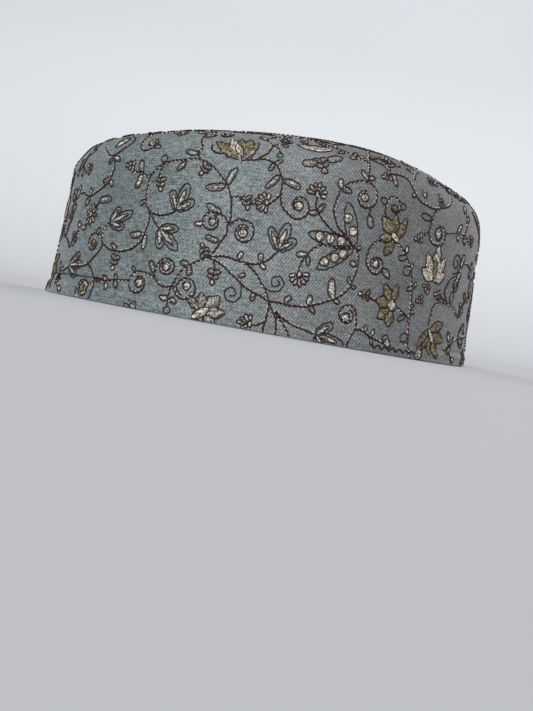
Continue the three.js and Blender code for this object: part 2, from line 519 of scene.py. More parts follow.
def sideBand():
    edges = columnsOf(clothGrid["columns"])
    around = edges[:-1]
    seam = seamRiseAt(around)
    wall, skinRise = capForm["clothWall"], clothGrid["skinRise"]
    fold = wall + capForm["gap"] + capForm["liningWall"]
    rim = bandSkin(around, 0.0)
    inward = -rim * [1, 1, 0] / np.linalg.norm(rim[:, :2], axis=1)[:, None]

    def rimRow(depth, height):
        return rim + inward * depth + [0, 0, height]

    rings = [rimRow(fold - out, height) for out, height, _ in foldInside]
    rings += [rimRow(depth, height) for depth, height, _ in foldOutside]
    rowUv = [along for _, _, along in foldInside + foldOutside]
    for rise in np.arange(foldOutside[0][0], clothGrid["hemTop"], clothGrid["hemStep"]):
        rings.append(bandSkin(around, rise))
        rowUv.append(rise)
    wallShares = np.linspace(*clothGrid["wallShares"], clothGrid["wallRings"])
    seamShares = np.linspace(*clothGrid["seamShares"], clothGrid["seamRings"])
    for share in [*wallShares, *seamShares]:
        rings.append(bandSkin(around, seam * share))
        rowUv.append(share * skinRise)
    for share in clothGrid["insideShares"]:
        rings.append(bandSkin(around, seam * share, -wall))
        rowUv.append(2 * skinRise - share * skinRise)
    rings.append(rimRow(wall, capForm["foldHeight"]))
    rowUv.append(2 * skinRise - capForm["foldHeight"])
    points, faces, uv = ringWall(rings, edges / uvLength, np.array(rowUv) / uvLength)
    piece = makeMesh("embroidered_band_cloth", points, faces, twill, uv)
    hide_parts("side_band")


# A closed panel that follows the crown between two depths
def crownDisc(name, top, under, columns, ringCount, material):
    angle = np.arange(columns) / columns * 2 * math.pi
    edge = sectionAt(angle)["seamRadius"] - capForm["gap"] / 2
    hub = crownGrid["hub"]          # the middle is one small face, this share of the radius
    sides = ((top, np.linspace(hub, 1, ringCount)), (under, np.linspace(1, hub, crownGrid["ringsUnder"])))
    rings = []
    for depth, shares in sides:
        for share in shares:
            radius = edge * share
            rings.append(crownSkin(radius * np.cos(angle), radius * np.sin(angle), -depth))
    points = np.vstack(rings)
    rows = len(rings)
    column = np.arange(columns)
    after = (column + 1) % columns
    faces = []
    for row in range(rows - 1):
        faces += np.stack([row * columns + column, (row + 1) * columns + column,
                           (row + 1) * columns + after, row * columns + after], 1).tolist()
    faces.append(column.tolist())
    faces.append(((rows - 1) * columns + column[::-1]).tolist())
    corners = np.concatenate([np.asarray(face) for face in faces])
    uv = points[corners][:, :2] / uvLength
    return makeMesh(name, points, faces, material, uv)


def crownPanel():
    piece = crownDisc("embroidered_crown_cloth", 0.0, capForm["clothWall"], crownGrid["columns"],
                      crownGrid["rings"], twill)
    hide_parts("crown_panel")


def linings():
    near = capForm["clothWall"] + capForm["gap"]
    far = near + capForm["liningWall"]
    edges = columnsOf(liningGrid["columns"])
    around = edges[:-1]
    seam = seamRiseAt(around)
    shares = np.linspace(0, 1, liningGrid["rings"])
    hiddenShares = shares[::liningGrid["hiddenEvery"]]
    foot = capForm["foldHeight"] + liningGrid["clear"]
    rings = [bandSkin(around, foot + (seam - foot) * share, -far) for share in shares[::-1]]
    rings += [bandSkin(around, foot + (seam - foot) * share, -near) for share in hiddenShares]
    rowUv = np.concatenate([shares[::-1], liningGrid["hiddenFrom"] + hiddenShares])
    rowUv = rowUv * clothGrid["skinRise"]
    points, faces, uv = ringWall(rings, edges / uvLength, rowUv / uvLength)
    side = makeMesh("band_lining_cloth", points, faces, lawn, uv)
    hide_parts("side_lining")
    top = crownDisc("crown_lining_cloth", near, far, liningGrid["crownColumns"], liningGrid["crownRings"],
                    lawn)
    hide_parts("crown_lining")


sideBand()
crownPanel()
linings()
print("cloth and linings made")


# Embroidery is worked out flat, as (across, up, proud) in mm on the chart, then laid on the cap

threads = {name: [] for name in ("darkPly", "palePly", "outline", "cream", "silver", "gold")}

# The threads are a little thicker than real ones, so that they show
twistedCord = {
    "pitch": 1.85,                  # one whole turn of the two plies
    "step": 0.36,
    "sides": 4,
    "wander": 0.10,                 # the needle strays this far from the drawn line,
    "wanderLength": 2.3,            # over about this length
    "loosening": 0.7,               # the twist runs this far ahead and behind (radians)
    "loosenEvery": 5.3,
    "dark": {"radius": 0.39, "aside": -0.10, "sway": 0.10, "lift": 0.22, "heave": 0.06},
    "pale": {"radius": 0.29, "aside": 0.30, "sway": 0.16, "lift": 0.02, "heave": 0.38},
    "sink": 0.26,                   # the pale ply is pulled under for a while here and there
    "sinkEvery": 8.7,
}
outlineThread = {
    "step": 0.55,
    "radius": 0.28,
    "sides": 4,
    "lift": 0.18,
    "wander": 0.11,
    "wanderBeat": 1.1,              # radians a step
    "swell": 0.14,                  # each stitch is this much thicker and thinner
    "swellBeat": 2.4,
}
satinStitch = {
    "spacing": 0.38,
    "halfWidth": 0.6,               # a share of the spacing, over half, so that they overlap
    "crest": 0.34,
    "lift": 0.10,
    "edgeDrop": 0.14,               # how far its edges lie below its ridge
    "alongSteps": 4,
}


# Rounds off a line of given points and spaces it evenly
def smoothPath(points, step):
    points = np.asarray(points, float)
    padded = np.vstack([2 * points[0] - points[1], points, 2 * points[-1] - points[-2]])
    t = np.linspace(0, 1, 12, endpoint=False)[:, None]
    parts = []
    for a, b, c, d in zip(padded, padded[1:], padded[2:], padded[3:]):
        parts.append(b + 0.5 * t * (c - a) + t ** 2 * (a - 2.5 * b + 2 * c - 0.5 * d)
                     + t ** 3 * (-0.5 * a + 1.5 * b - 1.5 * c + 0.5 * d))
    line = np.vstack(parts + [points[-1:]])
    length = np.r_[0, np.cumsum(np.hypot(*np.diff(line, axis=0).T))]
    even = np.linspace(0, length[-1], max(3, round(length[-1] / step) + 1))
    return np.stack([np.interp(even, length, line[:, k]) for k in (0, 1)], 1)


# Winds on from the end of a line round a centre, closing in; turns below 0 go clockwise
def curlIn(start, centre, endRadius, turns):
    dx, dy = start[0] - centre[0], start[1] - centre[1]
    share = np.linspace(0, 1, max(6, round(abs(turns) * 12)) + 1)[1:]
    angle = math.atan2(dy, dx) + turns * 2 * math.pi * share
    radius = math.hypot(dx, dy) + (endRadius - math.hypot(dx, dy)) * share
    return list(zip(centre[0] + radius * np.cos(angle), centre[1] + radius * np.sin(angle)))


# The directions to the left of a line, one at each of its points
def leftOf(path):
    tangent = np.gradient(path, axis=0)
    tangent /= np.linalg.norm(tangent, axis=1)[:, None] + 1e-9
    return np.stack([-tangent[:, 1], tangent[:, 0]], 1)


# A line that strays a little to either side, as stitched lines do; beat is in radians a step,
# and where the line starts sets where the wave starts, so that no two stray alike
def strayed(path, amount, beat):
    wave = np.arange(len(path)) * beat + path[0, 0] * 1.7 + path[0, 1]
    stray = amount * (np.sin(wave) + 0.6 * np.sin(2.3 * wave + 1.1))
    fromEnds = np.minimum(np.arange(len(path)), np.arange(len(path))[::-1])
    return path + leftOf(path) * (stray * np.clip(fromEnds / 3, 0, 1))[:, None]


# Points at these turns round a centre
def ringAt(centre, radius, turn):
    return np.stack([centre[0] + radius * np.cos(turn), centre[1] + radius * np.sin(turn)], 1)


# A round thread along a path; aside, proud and radius have a value for each point
def addStrand(kind, path, aside, proud, radius, sides):
    across = leftOf(path)
    turn = np.arange(sides) / sides * 2 * math.pi
    offset = aside[:, None] + radius[:, None] * np.cos(turn)
    points = np.empty((len(path), sides, 3))
    points[:, :, :2] = path[:, None, :] + across[:, None, :] * offset[:, :, None]
    points[:, :, 2] = proud[:, None] + radius[:, None] * np.sin(turn)
    ring = np.arange(len(path) - 1)[:, None] * sides
    side = np.arange(sides)[None, :]
    after = (side + 1) % sides
    faces = np.stack([ring + side, ring + after, ring + sides + after, ring + sides + side], -1)
    threads[kind].append((points.reshape(-1, 3), faces.reshape(-1, 4)))


# A dark ply couched down by a pale one that shows as a row of beads on the inside of each bend
def twistedVine(points):
    cord = twistedCord
    path = strayed(smoothPath(points, cord["step"]), cord["wander"], cord["step"] / cord["wanderLength"])
    turn = np.arange(len(path)) * cord["step"] / cord["pitch"] * 2 * math.pi
    turn = turn + cord["loosening"] * np.sin(turn / cord["loosenEvery"] + path[0, 0])
    step = np.diff(path, axis=0)
    bend = np.sum(step[:-1, 0] * step[1:, 1] - step[:-1, 1] * step[1:, 0])
    inside = 1 if bend > 0 else -1
    for kind, start in (("dark", 0), ("pale", math.pi)):
        ply = cord[kind]
        aside = inside * (ply["aside"] + ply["sway"] * np.cos(turn + start))
        proud = ply["lift"] + ply["heave"] * np.sin(turn + start)
        if kind == "pale":
            proud = proud - cord["sink"] * np.clip(np.sin(turn / cord["sinkEvery"] + path[0, 1]), 0, 1)
        addStrand(kind + "Ply", path, aside, proud, np.full(len(path), ply["radius"]), cord["sides"])


def outline(points, radius=None, smooth=True, under=0.0):
    thread = outlineThread
    path = smoothPath(points, thread["step"]) if smooth else np.asarray(points, float)
    path = strayed(path, thread["wander"], thread["wanderBeat"])
    beat = np.sin(np.arange(len(path)) * thread["swellBeat"])
    thickness = (radius or thread["radius"]) * (1 + thread["swell"] * beat)
    proud = np.full(len(path), thread["lift"] + under)
    addStrand("outline", path, np.zeros(len(path)), proud, thickness, thread["sides"])


# Stitches laid side by side from one edge to the other, each a low ridge
def satin(kind, leftEdge, rightEdge, crest=satinStitch["crest"], under=0.0):
    share = np.linspace(0, 1, satinStitch["alongSteps"] + 1)
    arch = under + satinStitch["lift"] + crest * np.sqrt(np.clip(1 - (2 * share - 1) ** 2, 0, 1))
    span = rightEdge - leftEdge
    length = np.linalg.norm(span, axis=1)[:, None] + 1e-6
    beside = np.stack([-span[:, 1], span[:, 0]], 1) / length
    beside = beside * satinStitch["spacing"] * satinStitch["halfWidth"]
    line = leftEdge[:, None, :] + span[:, None, :] * share[None, :, None]
    points = np.empty((len(leftEdge), 3, len(share), 3))
    edgeDrop = satinStitch["edgeDrop"]
    for k, (shift, drop) in enumerate(((-1, edgeDrop), (0, 0), (1, edgeDrop))):
        points[:, k, :, :2] = line + beside[:, None, :] * shift
        points[:, k, :, 2] = arch - drop
    stitch = np.arange(len(leftEdge))[:, None, None] * 3 * len(share)
    row = np.arange(2)[None, :, None] * len(share)
    step = np.arange(len(share) - 1)[None, None, :]
    corner = stitch + row + step
    faces = np.stack([corner, corner + len(share), corner + len(share) + 1, corner + 1], -1)
    threads[kind].append((points.reshape(-1, 3), faces.reshape(-1, 4)))


# The way from one point to another: its start, its length, its direction and the one to its left
def wayFrom(base, tip):
    base, tip = np.asarray(base, float), np.asarray(tip, float)
    length = np.linalg.norm(tip - base)
    along = (tip - base) / length
    return base, length, along, np.array([-along[1], along[0]])


# The two edges of a leaf between two shares of the way from its base to its tip. Bend bows it
# sideways, and the lower full is, the rounder its ends
def leafEdges(base, tip, width, bend=0.0, full=0.7, start=0.0, end=1.0, count=None):
    base, length, along, beside = wayFrom(base, tip)
    count = count or max(5, round(length * (end - start) / satinStitch["spacing"]))
    share = np.linspace(start, end, count)[:, None]
    spine = base + along * length * share + beside * bend * length * 4 * share * (1 - share)
    local = (share - start) / (end - start)
    half = width / 2 * (4 * local * (1 - local)) ** full
    return spine + beside * half, spine - beside * half


def leafOutline(base, tip, width, bend=0.0, full=0.7, radius=None):
    left, right = leafEdges(base, tip, width, bend, full, count=10)
    outline(np.vstack([left, right[::-1][1:]]), radius)


# In the motifs below, a piece's widths and lengths are shares of the whole motif's, and crest,
# under and radius are how high its stitches arch, how high they start and how thick a thread is

budShape = {
    "outline": 1.08,
    "filling": 0.66,
    "fillTo": {"silver": 0.84, "gold": 0.9, "cream": 0.9},
    "paintedHighlight": 0.26,
}


# A small leaf or bud, which is left open, or filled with stitches short of its tip; a silver one gets a
# painted highlight
def bud(base, tip, width, fill, bend):
    leafOutline(base, tip, width * budShape["outline"], bend, full=0.43)
    if fill == "open":
        return
    end = budShape["fillTo"][fill]
    filling = leafEdges(base, tip, width * budShape["filling"], bend, full=0.5, start=0.08, end=end)
    satin(fill, *filling)
    # painted highlight: a cream streak along the middle of the silver filling, where its stitches would catch
    # the light
    if fill == "silver":
        paintedHighlight = leafEdges(base, tip, width * budShape["paintedHighlight"], bend, full=0.5, start=0.2, end=0.62)
        satin("cream", *paintedHighlight, crest=0.2, under=0.26)


spindleShape = {"outline": 1.3, "filling": 0.56, "paintedHighlight": 0.30, "inner": 0.66, "innerLength": 0.80}


# A leaf of a palmette: a bright spindle inside a blunt, looser outline, with cloth showing at the tip
def spindleLeaf(base, tip, width):
    shape = spindleShape
    leafOutline(base, tip, width * shape["outline"], full=0.40)
    filling = leafEdges(base, tip, width * shape["filling"], full=0.75, start=0.05, end=0.76)
    satin("silver", *filling, crest=0.4)
    # painted highlight: a cream streak along the spindle's crest, where its stitches would catch the light
    paintedHighlight = leafEdges(base, tip, width * shape["paintedHighlight"], full=0.7, start=0.08, end=0.72)
    satin("cream", *paintedHighlight, crest=0.24, under=0.28)
    base, tip = np.asarray(base, float), np.asarray(tip, float)
    innerTip = base + (tip - base) * shape["innerLength"]
    leafOutline(base, innerTip, width * shape["inner"], full=0.75, radius=0.2)


discShape = {"filling": 0.86, "height": 0.9, "crest": 0.44, "ringOut": 0.1}


# A disc of level stitches with a ring round it
def disc(centre, radius, fill, ring=0.28, under=0.0):
    rows = max(5, round(2 * radius / satinStitch["spacing"]))
    height = np.linspace(-discShape["height"], discShape["height"], rows)
    half = np.sqrt(1 - height ** 2) * radius * discShape["filling"]
    up = height * radius * discShape["filling"]
    left = np.stack([centre[0] - half, centre[1] + up], 1)
    right = np.stack([centre[0] + half, centre[1] + up], 1)
    satin(fill, left, right, discShape["crest"], under)
    turn = np.linspace(0, 2 * math.pi, max(12, round(radius * 12)))
    outline(ringAt(centre, radius + discShape["ringOut"], turn), ring, smooth=False, under=under)


eyeShape = {"disc": 0.9, "winding": (0.78, 0.38), "turns": (-0.6, 3.4), "points": 12}


# An eye at the end of a curl: a disc whose outline winds on inside it, from another turn on each
def eye(centre, radius, fill):
    disc(centre, radius * eyeShape["disc"], fill)
    turn = np.linspace(*eyeShape["turns"], eyeShape["points"]) + centre[0]
    winding = np.linspace(*eyeShape["winding"], eyeShape["points"]) * radius
    outline(ringAt(centre, winding, turn), radius=0.15, smooth=False, under=0.36)


seedShape = {"stitches": 13, "from": 0.1, "to": 0.96, "ringOut": 0.12, "ringWave": 0.08, "waves": 5}


# A round seed: stitches that run out from its middle, inside a thin outline
def seed(centre, radius, fill, under=0.0):
    shape = seedShape
    turn = np.arange(0, 2 * math.pi, 2 * math.pi / shape["stitches"]) + centre[0]
    heading = np.stack([np.cos(turn), np.sin(turn)], 1)
    inner = centre + heading * radius * shape["from"]
    outer = centre + heading * radius * shape["to"]
    satin(fill, inner, outer, crest=0.30, under=under)
    turn = np.linspace(0, 2 * math.pi, 18)
    edge = radius + shape["ringOut"] + shape["ringWave"] * np.sin(shape["waves"] * turn)
    outline(ringAt(centre, edge, turn), radius=0.22, smooth=False, under=under)


def fromPoint(point, heading, distance):
    angle = math.radians(heading)
    return np.array([point[0] + distance * math.cos(angle), point[1] + distance * math.sin(angle)])


coneShape = {
    "knot": (-0.46, 0.34, 0.22),    # where it starts along the bud, its length and its width
    "rows": ((-0.38, 0.52, 0.30), (0.02, 0.42, 0.28)),  # along the bud, reach to each side, lobe width
    "lobeFrom": 0.18,               # a lobe starts ahead of its row's middle
    "lobeTo": -0.04,                # and ends behind it
    "lobeBow": 0.16,
    "tip": (0.20, 0.64, 0.22, 0.40),    # where it starts and ends, and the widths of filling and outline
}


# A bud like a little fir cone: rows of lobes, each behind the next, and an oval tip
def coneBud(centre, heading, size, fill):
    shape = coneShape
    start, length, width = shape["knot"]
    knot = fromPoint(centre, heading, start * size)
    knotEnd = fromPoint(knot, heading, length * size)
    satin(fill, *leafEdges(knot, knotEnd, size * width, full=0.5, count=5), crest=0.3)
    for share, reach, width in shape["rows"]:
        middle = fromPoint(centre, heading, size * share)
        for side in (-1, 1):
            base = fromPoint(middle, heading, shape["lobeFrom"] * size)
            tip = fromPoint(middle, heading + 90 * side, size * reach)
            tip = fromPoint(tip, heading, shape["lobeTo"] * size)
            bow = shape["lobeBow"] * side
            lobe = leafEdges(base, tip, size * (width - 0.08), bow, full=0.45, start=0.12, end=0.94, count=6)
            satin(fill, *lobe, crest=0.4)
            leafOutline(base, tip, size * (width + 0.06), bow, full=0.42, radius=0.28)
    start, end, filling, width = shape["tip"]
    root, tip = fromPoint(centre, heading, size * start), fromPoint(centre, heading, size * end)
    oval = leafEdges(root, tip, size * filling, full=0.5, start=0.1, end=0.9, count=5)
    satin("cream", *oval, crest=0.42)
    leafOutline(root, tip, size * width, full=0.45)


# in mm, because daisies of all sizes have the same petals
daisyShape = {"petalFrom": 0.8, "petalWidth": 1.55, "fillingWidth": 0.85, "knot": 0.75}


# A daisy seen from the side: its petals fan out from a pale knot on the stem
def fanDaisy(base, petals):
    shape = daisyShape
    for heading, length in petals:
        root, tip = fromPoint(base, heading, shape["petalFrom"]), fromPoint(base, heading, length)
        filling = leafEdges(root, tip, shape["fillingWidth"], full=0.5, start=0.15, end=0.94, count=6)
        satin("cream", *filling, crest=0.44)
        leafOutline(root, tip, shape["petalWidth"], full=0.5, radius=0.27)
    disc(base, shape["knot"], "cream", ring=0.2, under=0.15)


def fullDaisy(centre, radius, petals):
    fanDaisy(centre, [(360 * k / petals, radius) for k in range(petals)])


petalShape = {
    "wideFrom": 0.4,                # it widens up to this share of its length,
    "narrowFor": 0.42,              # and narrows over this share at its tip
    "notches": 3,
    "notchDepth": 0.20,
    "unevenness": 0.45,             # the notches on the right lie this far on from the left ones
    "outlineOut": 0.2,
}


# A petal, widest near its middle, with a pointed tip and notched edges, filled up to its outline
def petal(base, tip, width, fill):
    shape = petalShape
    base, length, along, beside = wayFrom(base, tip)
    share = np.linspace(0.02, 1, max(8, round(length / satinStitch["spacing"])))
    widening = np.minimum(1, (share / shape["wideFrom"]) ** 0.6)
    narrowing = np.minimum(1, ((1 - share) / shape["narrowFor"]) ** 0.8)
    half = width / 2 * (widening * narrowing)
    halves = []
    for start in (0, shape["unevenness"]):
        notch = (share * shape["notches"] + start) % 1
        notched = half * (1 - shape["notchDepth"] + shape["notchDepth"] * notch)
        halves.append(notched[:, None])
    spine = base + along * length * share[:, None]
    satin(fill, spine + beside * halves[0], spine - beside * halves[1], crest=0.4)
    left = spine + beside * (halves[0] + shape["outlineOut"])
    right = spine - beside * (halves[1] + shape["outlineOut"])
    outline(np.vstack([left, right[::-1]]), radius=0.27)


heartShape = {"full": 0.5, "crest": 0.44, "under": 0.3, "outlineOut": 0.2, "outlineRadius": 0.24}


# Petals side by side, and a leaf-shaped heart over them where the flower has one
def flower(petals, heart):
    for x0, y0, x1, y1, width, fill in petals:
        petal((x0, y0), (x1, y1), width, fill)
    if heart:
        shape = heartShape
        x0, y0, x1, y1, width, fill = heart
        filling = leafEdges((x0, y0), (x1, y1), width, full=shape["full"])
        satin(fill, *filling, shape["crest"], shape["under"])
        outlineWidth = width + 2 * shape["outlineOut"]
        left, right = leafEdges((x0, y0), (x1, y1), outlineWidth, full=shape["full"], count=9)
        outline(np.vstack([left, right[::-1]]), shape["outlineRadius"], under=shape["under"])


podSeed = 1.7                       # radius


# A pod that has split, with round seeds in a row
def pod(base, tip, width, seeds):
    leafOutline(base, tip, width, full=0.55)
    for centre in seeds:
        seed(centre, podSeed, "cream")


# The chart: one repeat, as it is seen on the cap's near side, 199 mm wide and three times round.
# A vine is its points and, where it ends in one, its curl: centre, last radius, turns

chartRepeat = {"width": circumference / 3, "copies": 3}
bandChart = {"keep": (-9.0, 99.0)}  # the heights on the chart between which a motif is used: all
crownChart = {
    "keep": (-3.0, 79.0),
    "rows": [(-0.47, -81.0), (0.53, -81.0), (0.04, -1.0), (-0.96, -1.0)],   # repeats across, mm up
}

